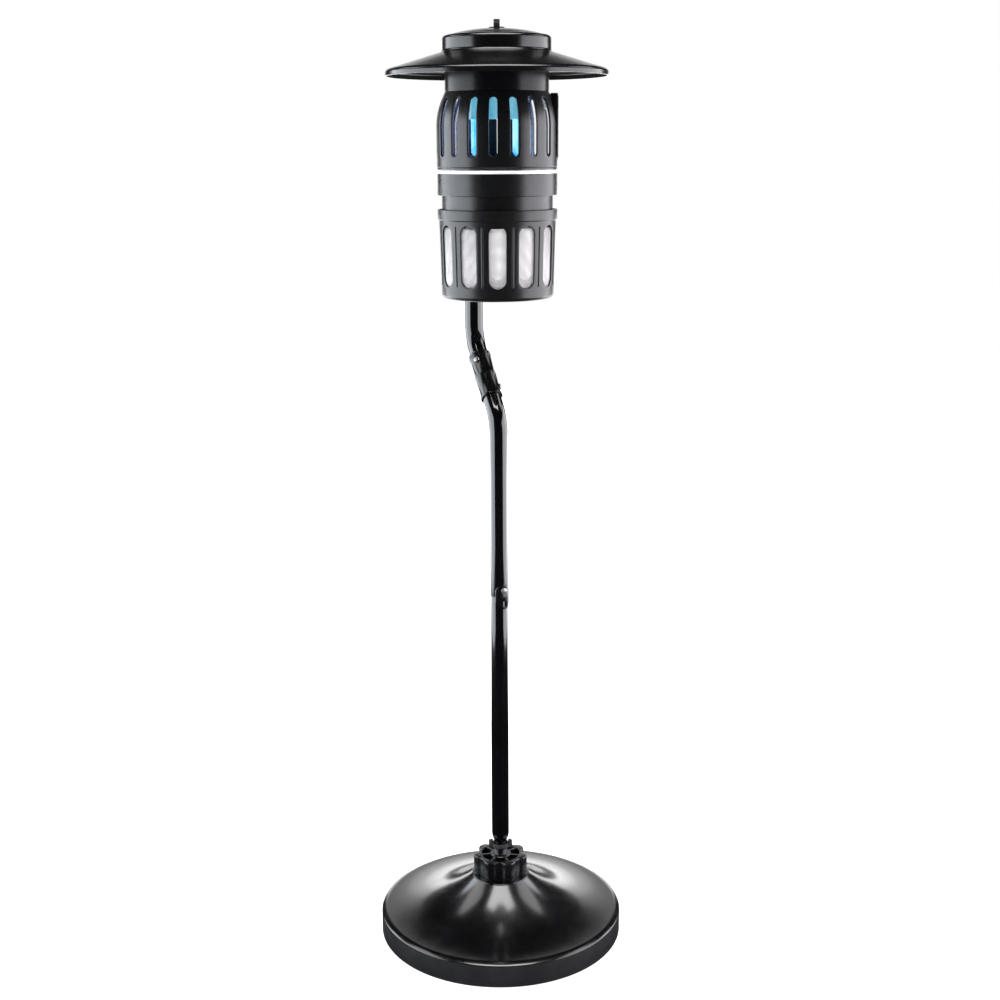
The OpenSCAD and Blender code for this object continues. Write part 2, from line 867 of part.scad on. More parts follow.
module lamp_cage() {
    bead_z = cage_z0 + 2.6;
    color([0.035, 0.035, 0.04])
        difference() {
            rotate_extrude()
                polygon(concat(
                    [[housing_spigot_r + fit, cage_z0], [cage_r, cage_z0], [cage_r, bead_z - 0.6]],
                    [[cage_r - 0.5, bead_z], [cage_r, bead_z + 0.6]],
                    [for (z = cage_levels) [cage_outer(z), z]],
                    [[seat_r, cage_top_z], [seat_r, cage_top_z - 4]],
                    [for (i = [cage_steps - 2 : -1 : 0])
                        [cage_outer(cage_levels[i]) - cage_wall, cage_levels[i] - 0.8]],
                    [[cage_r - cage_wall, cage_z0 + 3.5], [housing_spigot_r + fit, cage_z0 + 3.5]]
                ));
            for (i = [0 : cage_slots - 1])
                at_front(cage_phase + i * 360 / cage_slots)
                    round_slot(cage_slot_w, cage_slot_z0, cage_slot_z1, 52, 80);
            at_front(channel_phi)
                translate([-channel_w / 2 - 0.1, -90, channel_z0 - 0.1])
                    cube([channel_w + 0.2, 90 - channel_in_r + 0.1, channel_z1 - channel_z0 + 0.2]);
            at_front(channel_phi) {
                translate([-channel_w / 2 - 0.1, -channel_in_r - 0.2, contact_z0 - 0.1])
                    cube([channel_w + 0.2, 10, contact_h + 0.3]);
                translate([-6.5, -channel_in_r + 2.4, contact_z0 + contact_h]) cube([13, 6, 8]);
            }
            for (i = [0 : lug_n - 1])
                at_front(cage_lug_phi + i * 360 / lug_n)
                    rotate([0, 0, -99])
                        translate([0, 0, cage_top_z - 6])
                            rotate_extrude(angle = 18) translate([50, 0]) square([8.7, 8]);
            for (phi = cage_screw_phis)
                at_front(phi) radial_pin(1.5, cage_screw_z, 60, 80);
        }
}

module cage_screws() {
    color([0.5, 0.5, 0.52])
        for (phi = cage_screw_phis)
            at_front(phi)
                translate([0, -cage_r - 0.05, cage_screw_z]) rotate([90, 0, 0]) screw(1.3, 6, 1.8, 1.2);
}

module wire_channel() {
    wall = 1.3;
    color([0.03, 0.03, 0.035])
        at_front(channel_phi)
            difference() {
                intersection() {
                    disc(cage_r, channel_z0, channel_z1);
                    translate([-channel_w / 2, -90, channel_z0])
                        cube([channel_w, 90 - channel_in_r, channel_z1 - channel_z0]);
                }
                translate([-3.2, -wire_path_r - 2.2, channel_z0 - 1])
                    cube([6.4, 4, channel_z1 - channel_z0 - wall]);
                translate([-1.6, -wire_path_r, wire_z1 - 1.6]) cube([3.2, 4, 3.2]);
            }
}

// Two insulated leads from the motor, up the channel to the contact socket
module inner_wires() {
    color([0.7, 0.1, 0.08])
        at_front(channel_phi) {
            radial_pin(wire_r, wire_z0, motor_r - 1.45, wire_path_r);
            translate([0, -wire_path_r, wire_z0]) sphere(wire_r);
            translate([0, -wire_path_r, wire_z0]) cylinder(r = wire_r, h = wire_z1 - wire_z0);
            translate([0, -wire_path_r, wire_z1]) sphere(wire_r);
            radial_pin(wire_r, wire_z1, channel_in_r - 0.9, wire_path_r);
        }
}

module contact_socket() {
    color([0.8, 0.78, 0.7])
        at_front(channel_phi)
            difference() {
                translate([-channel_w / 2, -channel_in_r + 0.05, contact_z0]) cube([channel_w, 9, contact_h]);
                for (side = [-1, 1])
                    translate([side * blade_gap - blade_t / 2 - 0.15, -channel_in_r + 2.5, blade_z0 - 1.5])
                        cube([blade_t + 0.3, 4.6, 12]);
                radial_pin(wire_r + 0.1, wire_z1, channel_in_r - 1, channel_in_r + 1);
            }
}

module contact_blades() {
    color([0.8, 0.62, 0.3])
        at_front(channel_phi)
            for (side = [-1, 1])
                translate([side * blade_gap - blade_t / 2, -channel_in_r + 2.7, blade_z0])
                    cube([blade_t, 4.2, cage_top_z - blade_z0]);
}

// ---- catch basket ----

// Outer radius of the basket's tapered wall at a height
function basket_outer(z) = basket_r + (basket_top_r - basket_r)
    * (z - basket_z) / (basket_rim_z0 - basket_z);

module basket_cage() {
    round_r = 5;
    ledge_z = lug_z + 6;
    rib_z0 = slot_z0 + 1;
    rib_z1 = slot_z1 - 1;
    rib_lean = atan((basket_outer(rib_z1) - basket_outer(rib_z0)) / (rib_z1 - rib_z0));
    color([0.035, 0.035, 0.04])
        difference() {
            union() {
                rotate_extrude()
                    polygon(concat(
                        [[basket_floor_r + 0.1, basket_z], [basket_r - round_r, basket_z]],
                        [for (a = [18 : 18 : 90])
                            [basket_r - round_r + round_r * sin(a), basket_z + round_r * (1 - cos(a))]],
                        [[basket_top_r, basket_rim_z0 - 2], [basket_rim_r, basket_rim_z0]],
                        [[basket_rim_r, basket_rim_z1 - 0.6], [basket_rim_r - 0.6, basket_rim_z1]],
                        [[basket_top_r - basket_wall, basket_rim_z1]],
                        [[basket_top_r - basket_wall, basket_rim_z0]],
                        [[basket_outer(basket_z + round_r) - basket_wall, basket_z + round_r]],
                        [[basket_outer(basket_z + round_r) - basket_wall - 1.2, basket_z + basket_floor_t]],
                        [[basket_floor_r + 0.1, basket_z + basket_floor_t]]
                    ));
                for (i = [0 : basket_slots - 1])
                    at_front((i + 0.5) * 360 / basket_slots)
                        translate([0, -basket_outer(rib_z0) + 0.8, rib_z0])
                            rotate([rib_lean, 0, 0]) cylinder(r = 1.6, h = rib_z1 - rib_z0);
                for (i = [0 : lug_n - 1])
                    at_front(lug_phi + lug_turn + i * 360 / lug_n)
                        rotate([0, 0, -96])
                            translate([0, 0, ledge_z])
                                rotate_extrude(angle = 12)
                                    translate([neck_r + 0.4, 0]) square([2, 4]);
            }
            for (i = [0 : basket_slots - 1])
                at_front(i * 360 / basket_slots)
                    round_slot(basket_slot_w, slot_z0, slot_z1, 55, 80);
        }
}

// The floor grille that presses into the foot of the basket
module basket_floor() {
    windows = 8;
    window_r0 = 18;
    window_l = 34;
    window_w = 8;
    color([0.035, 0.035, 0.04])
        difference() {
            disc(basket_floor_r, basket_z, basket_z + basket_floor_t);
            for (i = [0 : windows - 1])
                rotate([0, 0, i * 360 / windows])
                    translate([window_r0, -window_w / 2, basket_z - 1])
                        cube([window_l, window_w, basket_floor_t + 2]);
        }
}

module basket_mesh() {
    z0 = basket_z + 6;
    z1 = neck_z - 1.5;
    color([0.8, 0.8, 0.78])
        rotate_extrude()
            polygon([
                [basket_outer(z0) - basket_wall - basket_mesh_gap - basket_mesh_t, z0],
                [basket_outer(z0) - basket_wall - basket_mesh_gap, z0],
                [basket_outer(z1) - basket_wall - basket_mesh_gap, z1],
                [basket_outer(z1) - basket_wall - basket_mesh_gap - basket_mesh_t, z1]
            ]);
}

module floor_mesh() {
    z0 = basket_z + basket_floor_t + fit;
    color([0.8, 0.8, 0.78]) disc(basket_floor_r - 1, z0, z0 + basket_mesh_t);
}

// ---- hood ----

module hood_collar() {
    ceiling_t = 2.5;
    color([0.035, 0.035, 0.04])
        difference() {
            union() {
                ring(collar_r, collar_r - collar_wall, cage_top_z, collar_z1);
                disc(collar_r, cage_top_z, cage_top_z + ceiling_t);
                ring(seat_r - 0.15, seat_r - 3, cage_top_z - 6, cage_top_z + eps);
                for (i = [0 : lug_n - 1])
                    at_front(cage_lug_phi + i * 360 / lug_n)
                        rotate([0, 0, -96])
                            translate([0, 0, cage_top_z - 6])
                                rotate_extrude(angle = 12) translate([seat_r - 2, 0]) square([3.4, 2]);
                for (i = [0 : 2])
                    rotate([0, 0, i * 120 + hood_screw_az]) {
                        translate([hood_screw_r, 0, cage_top_z]) cylinder(r = 4, h = collar_z1 - cage_top_z);
                        translate([board_post_r, 0, cage_top_z])
                            cylinder(r = 3, h = board_z - 0.05 - cage_top_z);
                    }
            }
            for (i = [0 : 2])
                rotate([0, 0, i * 120 + hood_screw_az])
                    translate([hood_screw_r, 0, cage_top_z - 1]) cylinder(r = 1.7, h = 60);
            at_front(channel_phi)
                translate([-7.4, -channel_in_r + 1, cage_top_z - 7]) cube([14.8, 12, 7]);
        }
}

module lamp_holder() {
    corner = 6;
    holder_x = 33;
    holder_y = 17;
    color([0.9, 0.93, 0.95])
        difference() {
            union() {
                for (x = [-1, 1])
                    for (y = [-1, 1])
                        translate([x * (holder_x - corner), y * (holder_y - corner), holder_z0])
                            cylinder(r = corner, h = cage_top_z - 0.1 - holder_z0);
                translate([-holder_x + corner, -holder_y, holder_z0])
                    cube([2 * (holder_x - corner), 2 * holder_y, cage_top_z - 0.1 - holder_z0]);
                translate([-holder_x, -holder_y + corner, holder_z0])
                    cube([2 * holder_x, 2 * (holder_y - corner), cage_top_z - 0.1 - holder_z0]);
            }
            for (x = [-lamp_x, lamp_x])
                translate([x - 7.6, -14.6, holder_z0 - 1]) cube([15.2, 29.2, 19]);
        }
}

// A compact ultraviolet lamp: two glass limbs joined by a bend below, in a moulded cap
module uv_lamp(x) {
    limb_z1 = holder_z0 + 2;
    bend_zc = lamp_z0 + lamp_tube_r + lamp_gap;
    translate([x, 0, 0]) {
        color([0.25, 0.6, 1]) {
            for (y = [-lamp_gap, lamp_gap])
                translate([0, y, bend_zc]) cylinder(r = lamp_tube_r, h = limb_z1 - bend_zc);
            translate([0, 0, bend_zc])
                rotate([0, 90, 0])
                    rotate([0, 0, -90])
                        rotate_extrude(angle = 180) translate([lamp_gap, 0]) circle(lamp_tube_r);
        }
        color([0.92, 0.92, 0.9]) translate([-7.4, -14.4, limb_z1 - eps]) cube([14.8, 28.8, 16]);
    }
}

module lamp_left() {
    uv_lamp(-lamp_x);
}

module lamp_right() {
    uv_lamp(lamp_x);
}

module driver_board() {
    color([0.05, 0.3, 0.12])
        difference() {
            disc(43, board_z, board_z + 1.6);
            for (i = [0 : 2])
                rotate([0, 0, i * 120 + hood_screw_az])
                    translate([hood_screw_r, 0, board_z - 1]) cylinder(r = 10, h = 4);
        }
}

module driver_parts() {
    top = board_z + 1.65;
    color([0.2, 0.2, 0.25]) {
        translate([-10, -8, top]) cube([20, 16, 14]);
        translate([24, 8, top]) cylinder(r = 5, h = 16);
        translate([-26, 8, top]) cylinder(r = 4, h = 12);
        translate([-22, -18, top]) cube([12, 7, 9]);
        translate([14, -22, top]) cube([14, 5, 10]);
        translate([-4, 18, top]) cube([16, 6, 12]);
    }
}

// Height of the roof's upper face at a radius
function roof_z(r) = cap_z0 - (cap_z0 - roof_edge_z) * (r - cap_r) / (roof_r - 3 - cap_r);

module roof_brim() {
    color([0.03, 0.03, 0.035])
        difference() {
            rotate_extrude()
                polygon([
                    [roof_hole_r, collar_z1 + 0.05], [cap_r - 1, collar_z1 + 0.05],
                    [roof_r - 4, roof_z(roof_r - 4) - roof_t], [roof_r - roof_t, roof_edge_z - 3.4],
                    [roof_r - roof_t, roof_lip_z0], [roof_r, roof_lip_z0], [roof_r, roof_edge_z - 2.6],
                    [roof_r - 1, roof_edge_z - 1], [roof_r - 3, roof_z(roof_r - 3)],
                    [cap_r, cap_z0], [roof_hole_r, cap_z0]
                ]);
            for (i = [0 : 2])
                rotate([0, 0, i * 120 + hood_screw_az])
                    translate([hood_screw_r, 0, collar_z1 - 10]) cylinder(r = 1.9, h = 20);
        }
}

module hood_cap() {
    shoulder = 5;
    dome_r = (pow(cap_r - shoulder, 2) + pow(cap_top_z - cap_side_z - shoulder + 1, 2))
        / (2 * (cap_top_z - cap_side_z - shoulder + 1));
    shoulder_top = cap_side_z + shoulder - 1;
    color([0.03, 0.03, 0.035])
        difference() {
            union() {
                rotate_extrude()
                    polygon(concat(
                        [[cap_r - cap_wall, cap_z0 + 0.05], [cap_r, cap_z0 + 0.05], [cap_r, cap_side_z]],
                        [for (a = [15 : 15 : 75])
                            [cap_r - shoulder + shoulder * cos(a), cap_side_z + (shoulder - 1) * sin(a)]],
                        [for (i = [0 : 10])
                            let (r = (cap_r - shoulder) * (1 - i / 10))
                                [r, shoulder_top + sqrt(dome_r * dome_r - r * r) - dome_r
                                    + cap_top_z - shoulder_top]],
                        [for (i = [10 : -2 : 0])
                            let (r = (cap_r - shoulder) * (1 - i / 10))
                                [r, shoulder_top + sqrt(dome_r * dome_r - r * r) - dome_r
                                    + cap_top_z - shoulder_top - cap_wall]],
                        [[cap_r - cap_wall, cap_side_z - 1]]
                    ));
                for (i = [0 : 2])
                    rotate([0, 0, i * 120 + hood_screw_az])
                        translate([hood_screw_r, 0, cap_z0 + 0.05]) cylinder(r = 4, h = 17);
            }
            for (i = [0 : 2])
                rotate([0, 0, i * 120 + hood_screw_az])
                    translate([hood_screw_r, 0, cap_z0 - 1]) cylinder(r = 1.6, h = 13);
        }
}

module hood_screws() {
    color([0.5, 0.5, 0.52])
        for (i = [0 : 2])
            rotate([0, 0, i * 120 + hood_screw_az])
                translate([hood_screw_r, 0, cage_top_z - 0.05]) mirror([0, 0, 1]) screw(1.55, 54, 3.2, 2);
}

module hanger_eye() {
    eye_t = 7;
    eye_w = 14;
    hole_r = 2.6;
    root_z = cap_top_z - 1;
    color([0.03, 0.03, 0.035])
        difference() {
            union() {
                translate([-eye_t / 2, -eye_w / 2, root_z]) cube([eye_t, eye_w, eye_top_z - root_z - 5]);
                translate([-eye_t / 2, 0, eye_top_z - eye_w / 2])
                    rotate([0, 90, 0]) cylinder(r = eye_w / 2, h = eye_t);
                translate([0, 0, root_z]) cylinder(r = 9, h = 2.2);
            }
            translate([-20, 0, eye_top_z - 5]) rotate([0, 90, 0]) cylinder(r = hole_r, h = 40);
            disc(12, cap_top_z - 30, cap_top_z + fit);
        }
}

// ---- output ----
base_shell();
base_pan();
ballast_disc();
rubber_feet();
base_socket();
base_screws();
flange_bolts();
lock_knob();
pole_stud();
stud_washer();
stud_nut();
foot_collar();
lower_pole();
middle_pole();
offset_sleeve();
upper_pole();
joint_clip();
mid_button();
sleeve_low_button();
sleeve_top_button();
bracket_button();
mid_spring();
sleeve_low_spring();
sleeve_top_spring();
bracket_spring();
pole_bracket();
bracket_screws();
fan_housing();
trim_ring();
lamp_cage();
cage_screws();
wire_channel();
inner_wires();
contact_socket();
cord_gland();
intake_funnel();
fan_guard();
motor_spider();
fan_motor();
motor_shaft();
fan_rotor();
basket_cage();
basket_floor();
basket_mesh();
floor_mesh();
hood_collar();
lamp_holder();
lamp_left();
lamp_right();
driver_board();
driver_parts();
contact_blades();
roof_brim();
hood_cap();
hood_screws();
hanger_eye();
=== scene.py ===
import logging
import math
from collections.abc import Callable
from dataclasses import dataclass, field
from enum import Enum

import bmesh
import bpy
from bmesh.types import BMEdge, BMesh, BMFace, BMVert
from bpy.types import Material, Node, Object
from mathutils import Matrix, Vector


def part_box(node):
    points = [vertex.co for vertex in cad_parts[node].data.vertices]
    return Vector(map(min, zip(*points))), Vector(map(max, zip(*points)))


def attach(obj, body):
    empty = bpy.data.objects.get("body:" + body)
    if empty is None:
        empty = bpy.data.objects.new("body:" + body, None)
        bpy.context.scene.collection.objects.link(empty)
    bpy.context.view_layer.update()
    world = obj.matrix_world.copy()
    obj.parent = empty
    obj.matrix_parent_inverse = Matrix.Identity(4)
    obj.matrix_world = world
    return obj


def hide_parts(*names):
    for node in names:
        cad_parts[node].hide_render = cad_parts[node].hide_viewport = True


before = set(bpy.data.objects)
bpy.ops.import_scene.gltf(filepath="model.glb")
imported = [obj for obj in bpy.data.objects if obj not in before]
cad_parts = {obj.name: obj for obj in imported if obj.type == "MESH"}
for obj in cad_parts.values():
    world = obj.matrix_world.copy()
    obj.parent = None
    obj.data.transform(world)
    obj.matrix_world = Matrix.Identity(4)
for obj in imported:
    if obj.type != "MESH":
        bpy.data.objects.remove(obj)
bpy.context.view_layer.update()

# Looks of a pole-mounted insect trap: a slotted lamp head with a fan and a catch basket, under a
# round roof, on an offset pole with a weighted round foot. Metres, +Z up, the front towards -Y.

log = logging.getLogger("insect_trap")

MM = 0.001
FULL_TURN = 2.0 * math.pi
SHARP = math.radians(32.0)
WIRE_SHARP = math.radians(100)
ROOF_SHARP = math.radians(40)
WELD = 1e-6
TINY = 1e-7
Point = tuple[float, float]
Triple = tuple[float, float, float]


# ---------------------------------------------------------------- node graphs and finishes


class Graph:
    """A small helper that adds and links shader nodes in one material."""

    def __init__(self, name: str) -> None:
        """Starts a material with an empty node tree.

        Args:
            name: the material's name.
        """
        self.material = bpy.data.materials.new(name)
        self.material.use_nodes = True
        self.tree = self.material.node_tree
        self.tree.nodes.clear()
        self.output = self.tree.nodes.new("ShaderNodeOutputMaterial")
        self.coords = self.tree.nodes.new("ShaderNodeTexCoord")

    def add(self, kind: str, **values: object) -> Node:
        """Adds a node.

        Args:
            kind: the node's type name, without its ShaderNode prefix.
            values: attributes, or input sockets where the key starts with an upper-case letter.

        Returns:
            The new node.
        """
        node = self.tree.nodes.new("ShaderNode" + kind)
        for key, value in values.items():
            if key[0].isupper():
                node.inputs[key.replace("_", " ")].default_value = value
            else:
                setattr(node, key, value)
        return node

    def link(self, source: Node, out: str | int, target: Node, socket: str | int) -> None:
        """Links two sockets by name or place."""
        self.tree.links.new(source.outputs[out], target.inputs[socket])

    def noise(self, scale: float, detail: float = 3.0, stretch: Triple = (1, 1, 1)) -> Node:
        """Adds a noise texture on object coordinates.

        Args:
            scale: how many cells there are to a metre.
            detail: the noise's detail.
            stretch: a factor on each axis, for drawn or brushed patterns.

        Returns:
            The noise node.
        """
        mapping = self.add("Mapping", Scale=stretch)
        self.link(self.coords, "Object", mapping, "Vector")
        node = self.add("TexNoise", Scale=scale, Detail=detail, Roughness=0.55)
        self.link(mapping, "Vector", node, "Vector")
        return node

    def ramp(self, source: Node, low: Triple, high: Triple, ends: Point = (0.35, 0.65)) -> Node:
        """Turns a factor into a colour between two colours.

        Args:
            source: the node whose factor is used.
            low: the colour at the lower end.
            high: the colour at the upper end.
            ends: the factors where the ramp starts and ends.

        Returns:
            The colour ramp node.
        """
        node = self.add("ValToRGB")
        node.color_ramp.elements[0].position, node.color_ramp.elements[1].position = ends
        node.color_ramp.elements[0].color = (*low, 1.0)
        node.color_ramp.elements[1].color = (*high, 1.0)
        self.link(source, "Fac", node, "Fac")
        return node

    def spread(self, source: Node, low: float, high: float) -> Node:
        """Maps a factor to a range of values, such as a roughness."""
        node = self.add("MapRange", From_Min=0.3, From_Max=0.7, To_Min=low, To_Max=high)
        self.link(source, "Fac", node, "Value")
        return node

    def bump(self, layers: list[tuple[Node, float, float]]) -> Node:
        """Stacks bump layers.

        Args:
            layers: each layer's height node, strength and distance in metres.

        Returns:
            The last bump node, whose normal holds them all.
        """
        last = None
        for height, strength, distance in layers:
            node = self.add("Bump", Strength=strength, Distance=distance)
            self.link(height, "Fac", node, "Height")
            if last:
                self.link(last, "Normal", node, "Normal")
            last = node
        return last

    def done(self, surface: Node, **sources: Node) -> Material:
        """Links what feeds the surface, and the surface to the output.

        Args:
            surface: the surface's shader node.
            sources: for each socket, with _ for a space, the node whose first output feeds it.

        Returns:
            The finished material.
        """
        for socket, source in sources.items():
            self.link(source, 0, surface, socket.replace("_", " "))
        self.link(surface, 0, self.output, "Surface")
        return self.material


def shade(colour: Triple, factor: float) -> Triple:
    """Returns a colour made lighter or darker by a factor."""
    return tuple(min(1.0, c * factor) for c in colour)


@dataclass(frozen=True)
class Moulded:
    """Moulded plastic: a fine grain, slow flow marks and a little dust in the roughness."""

    name: str
    colour: Triple
    roughness: float
    grain: float = 1400.0
    grain_depth: float = 0.00004
    grain_strength: float = 0.25
    coat: float = 0.0
    specular: float = 0.5

    def material(self) -> Material:
        """Returns the plastic's material."""
        g = Graph(self.name)
        surface = g.add("BsdfPrincipled", Specular_IOR_Level=self.specular, Coat_Weight=self.coat,
                        Coat_Roughness=0.06)
        flow = g.noise(22.0, 4.0, (1, 1, 0.35))
        grain = g.noise(self.grain, 2.0)
        dust = g.noise(160.0, 5.0)
        colour = g.ramp(flow, shade(self.colour, 0.8), shade(self.colour, 1.25))
        rough = g.spread(dust, self.roughness * 0.88, self.roughness * 1.14)
        normal = g.bump([(flow, 0.03, 0.0006), (grain, self.grain_strength, self.grain_depth)])
        return g.done(surface, Base_Color=colour, Roughness=rough, Normal=normal)


@dataclass(frozen=True)
class Coated:
    """Gloss paint or powder coat on metal: orange peel under a clear gloss."""

    name: str
    colour: Triple
    roughness: float
    peel: float = 260.0
    peel_strength: float = 0.03
    coat: float = 0.5
    coat_roughness: float = 0.04

    def material(self) -> Material:
        """Returns the paint's material."""
        g = Graph(self.name)
        surface = g.add("BsdfPrincipled", Coat_Weight=self.coat, Coat_Roughness=self.coat_roughness)
        peel = g.noise(self.peel, 2.0)
        smear = g.noise(35.0, 5.0, (1, 1, 0.3))
        colour = g.ramp(smear, shade(self.colour, 0.75), shade(self.colour, 1.3))
        rough = g.spread(smear, self.roughness * 0.8, self.roughness * 1.25)
        normal = g.bump([(peel, self.peel_strength, 0.0003)])
        return g.done(surface, Base_Color=colour, Roughness=rough, Normal=normal)


@dataclass(frozen=True)
class Metal:
    """Bare or plated metal with fine drawn or turned lines."""

    name: str
    colour: Triple
    roughness: float
    stretch: Triple = (1.0, 1.0, 12.0)
    lines: float = 500.0
    line_strength: float = 0.08

    def material(self) -> Material:
        """Returns the metal's material."""
        g = Graph(self.name)
        surface = g.add("BsdfPrincipled", Metallic=1.0)
        lines = g.noise(self.lines, 3.0, self.stretch)
        tarnish = g.noise(60.0, 5.0)
        colour = g.ramp(tarnish, shade(self.colour, 0.82), shade(self.colour, 1.06))
        rough = g.spread(tarnish, self.roughness * 0.8, self.roughness * 1.3)
        normal = g.bump([(lines, self.line_strength, 0.00008)])
        return g.done(surface, Base_Color=colour, Roughness=rough, Normal=normal)


@dataclass(frozen=True)
class Cast:
    """Rough cast iron with pits."""

    name: str
    colour: Triple

    def material(self) -> Material:
        """Returns the casting's material."""
        g = Graph(self.name)
        surface = g.add("BsdfPrincipled", Metallic=0.5)
        pits = g.noise(420.0, 6.0)
        blotch = g.noise(40.0, 5.0)
        colour = g.ramp(blotch, shade(self.colour, 0.6), shade(self.colour, 1.4))
        rough = g.spread(pits, 0.6, 0.85)
        normal = g.bump([(pits, 0.5, 0.0004)])
        return g.done(surface, Base_Color=colour, Roughness=rough, Normal=normal)


@dataclass(frozen=True)
class Glow:
    """A glow: a lit ultraviolet tube's slightly uneven phosphor under clear glass, and the same glow as painted
    light on the lamp holder and the cage's inner wall.
    """

    name: str
    core: Triple
    skin: Triple
    strength: float

    def material(self) -> Material:
        """Returns the glow's material: a lit tube's, or painted light on a part that is no lamp."""
        g = Graph(self.name)
        surface = g.add("BsdfPrincipled", Roughness=0.1, Emission_Strength=self.strength, Coat_Weight=1.0,
                        Coat_Roughness=0.03)
        frost = g.noise(90.0, 3.0)
        cloud = g.noise(30.0, 4.0, (1, 1, 0.4))
        light = g.ramp(cloud, self.core, self.skin, (0.42, 0.7))
        base = g.ramp(frost, shade(self.core, 0.3), shade(self.skin, 0.4))
        normal = g.bump([(frost, 0.05, 0.0002)])
        return g.done(surface, Emission_Color=light, Base_Color=base, Normal=normal)


@dataclass(frozen=True)
class Board:
    """Circuit board laminate with faint tracks."""

    name: str
    colour: Triple

    def material(self) -> Material:
        """Returns the laminate's material."""
        g = Graph(self.name)
        surface = g.add("BsdfPrincipled", Roughness=0.35)
        tracks = g.add("TexBrick", Scale=120.0, Mortar_Size=0.03, Color1=(*self.colour, 1.0),
                       Color2=(*shade(self.colour, 0.8), 1.0), Mortar=(*shade(self.colour, 2.2), 1.0))
        g.link(g.coords, "Object", tracks, "Vector")
        weave = g.noise(900.0, 2.0)
        normal = g.bump([(weave, 0.15, 0.00005)])
        return g.done(surface, Base_Color=tracks, Normal=normal)


class Finish(Enum):
    """Every finish on the trap."""

    FOOT_GLOSS = Coated("foot_gloss_black", (0.0015, 0.0015, 0.0018), 0.2, 140.0, 0.02, 0.5, 0.13)
    FOOT_RIM = Moulded("foot_rim_satin", (0.012, 0.012, 0.0135), 0.42, 700.0, 0.0001, 0.5)
    PAN = Moulded("pan_matte", (0.02, 0.02, 0.021), 0.6)
    BALLAST = Cast("ballast_iron", (0.10, 0.10, 0.11))
    RUBBER = Moulded("dark_rubber", (0.018, 0.018, 0.018), 0.75, 900.0, 0.00008, 0.6)
    SOCKET = Metal("socket_zinc", (0.35, 0.35, 0.37), 0.4)
    SCREW = Metal("screw_zinc", (0.42, 0.42, 0.44), 0.3, (1, 1, 1), 900.0)
    KNOB = Moulded("knob_satin", (0.004, 0.004, 0.0045), 0.26, 1100.0, 0.00005, 0.2)
    THREAD = Metal("thread_black_oxide", (0.06, 0.06, 0.065), 0.35, (1, 1, 1), 800.0)
    SATIN = Moulded("satin_black", (0.004, 0.004, 0.0045), 0.34)
    POLE = Coated("pole_powder_gloss", (0.0015, 0.0015, 0.0018), 0.10, 300.0, 0.025)
    SLEEVE = Moulded("sleeve_gloss", (0.0025, 0.0025, 0.0028), 0.2, 800.0, 0.00006, 0.3)
    BUTTON = Metal("button_steel", (0.32, 0.32, 0.34), 0.22, (1, 1, 1), 700.0)
    SPRING = Metal("spring_steel", (0.5, 0.5, 0.52), 0.3)
    HOUSING = Moulded("housing_satin", (0.0035, 0.0035, 0.004), 0.3, 1500.0, 0.00003, 0.2)
    TRIM = Moulded("trim_bright", (0.95, 0.95, 0.95), 0.2, 300.0, 0.00002, 0.05, 0.6)
    WIRE = Moulded("wire_sleeve", (0.35, 0.03, 0.025), 0.35)
    WHITE = Moulded("white_holder", (0.86, 0.9, 0.92), 0.35, 900.0, 0.00003, 0.15)
    GLAND = Moulded("gland_rubber", (0.014, 0.014, 0.015), 0.6)
    MOTOR = Metal("motor_can", (0.5, 0.5, 0.52), 0.32)
    ROTOR = Moulded("rotor_plastic", (0.02, 0.02, 0.023), 0.4)
    BASKET = Moulded("basket_satin", (0.004, 0.004, 0.0043), 0.32, 1300.0, 0.00004, 0.25)
    MESH = Moulded("mesh_zinc", (0.68, 0.66, 0.67), 0.5, 900.0, 0.00003, 0.1)
    COLLAR = Moulded("collar_gloss", (0.0025, 0.0025, 0.003), 0.24, 1500.0, 0.00002, 0.15, 0.0, 0.2)
    # Painted light: a blue glow on the cage's inner wall, which is no lamp.
    CAGE_INSIDE = Glow("cage_inside_painted_glow", (0.006, 0.012, 0.05), (0.10, 0.22, 0.5), 0.5)
    # Painted light: a cyan glow on the lamp holder and the lamp caps, which are no lamps.
    HOLDER = Glow("holder_painted_glow", (0.10, 0.42, 0.62), (0.36, 0.8, 0.95), 0.75)
    LAMP = Glow("uv_tube_lit", (0.02, 0.36, 1.0), (0.45, 0.9, 1.0), 1.6)
    BOARD = Board("board_laminate", (0.02, 0.14, 0.06))
    PARTS = Moulded("driver_parts", (0.09, 0.09, 0.11), 0.4)
    BRASS = Metal("contact_brass", (0.8, 0.6, 0.28), 0.25)
    # Painted shade: a darker, matte, low-specular finish on the inward faces of the roof lip.
    LIP_INSIDE = Moulded("lip_inside_matte_painted_shade", (0.002, 0.002, 0.0022), 0.7, 700.0, 0.00005, 0.3, 0.0, 0.08)
    EYE = Moulded("hanging_eye_black", (0.002, 0.002, 0.0022), 0.5, 900.0, 0.00004, 0.3, 0.0, 0.15)
    ROOF = Moulded("roof_gloss", (0.0025, 0.0025, 0.0028), 0.2, 900.0, 0.00004, 0.15)

    def paint(self) -> Material:
        """Returns this finish's one material, made on first use."""
        found = bpy.data.materials.get(self.value.name)
        return found or self.value.material()


# ---------------------------------------------------------------- shapes


def arc(centre: Point, radius: float, start: float, end: float, steps: int) -> list[Point]:
    """Returns points along an arc in the outline's plane.

    Args:
        centre: the arc's centre, as radius and height.
        radius: its radius.
        start: its first angle in degrees, from outwards towards up.
        end: its last angle in degrees.
        steps: how many stretches it has.

    Returns:
        steps + 1 points.
    """
    turns = [math.radians(start + (end - start) * i / steps) for i in range(steps + 1)]
    return [(centre[0] + radius * math.cos(a), centre[1] + radius * math.sin(a)) for a in turns]


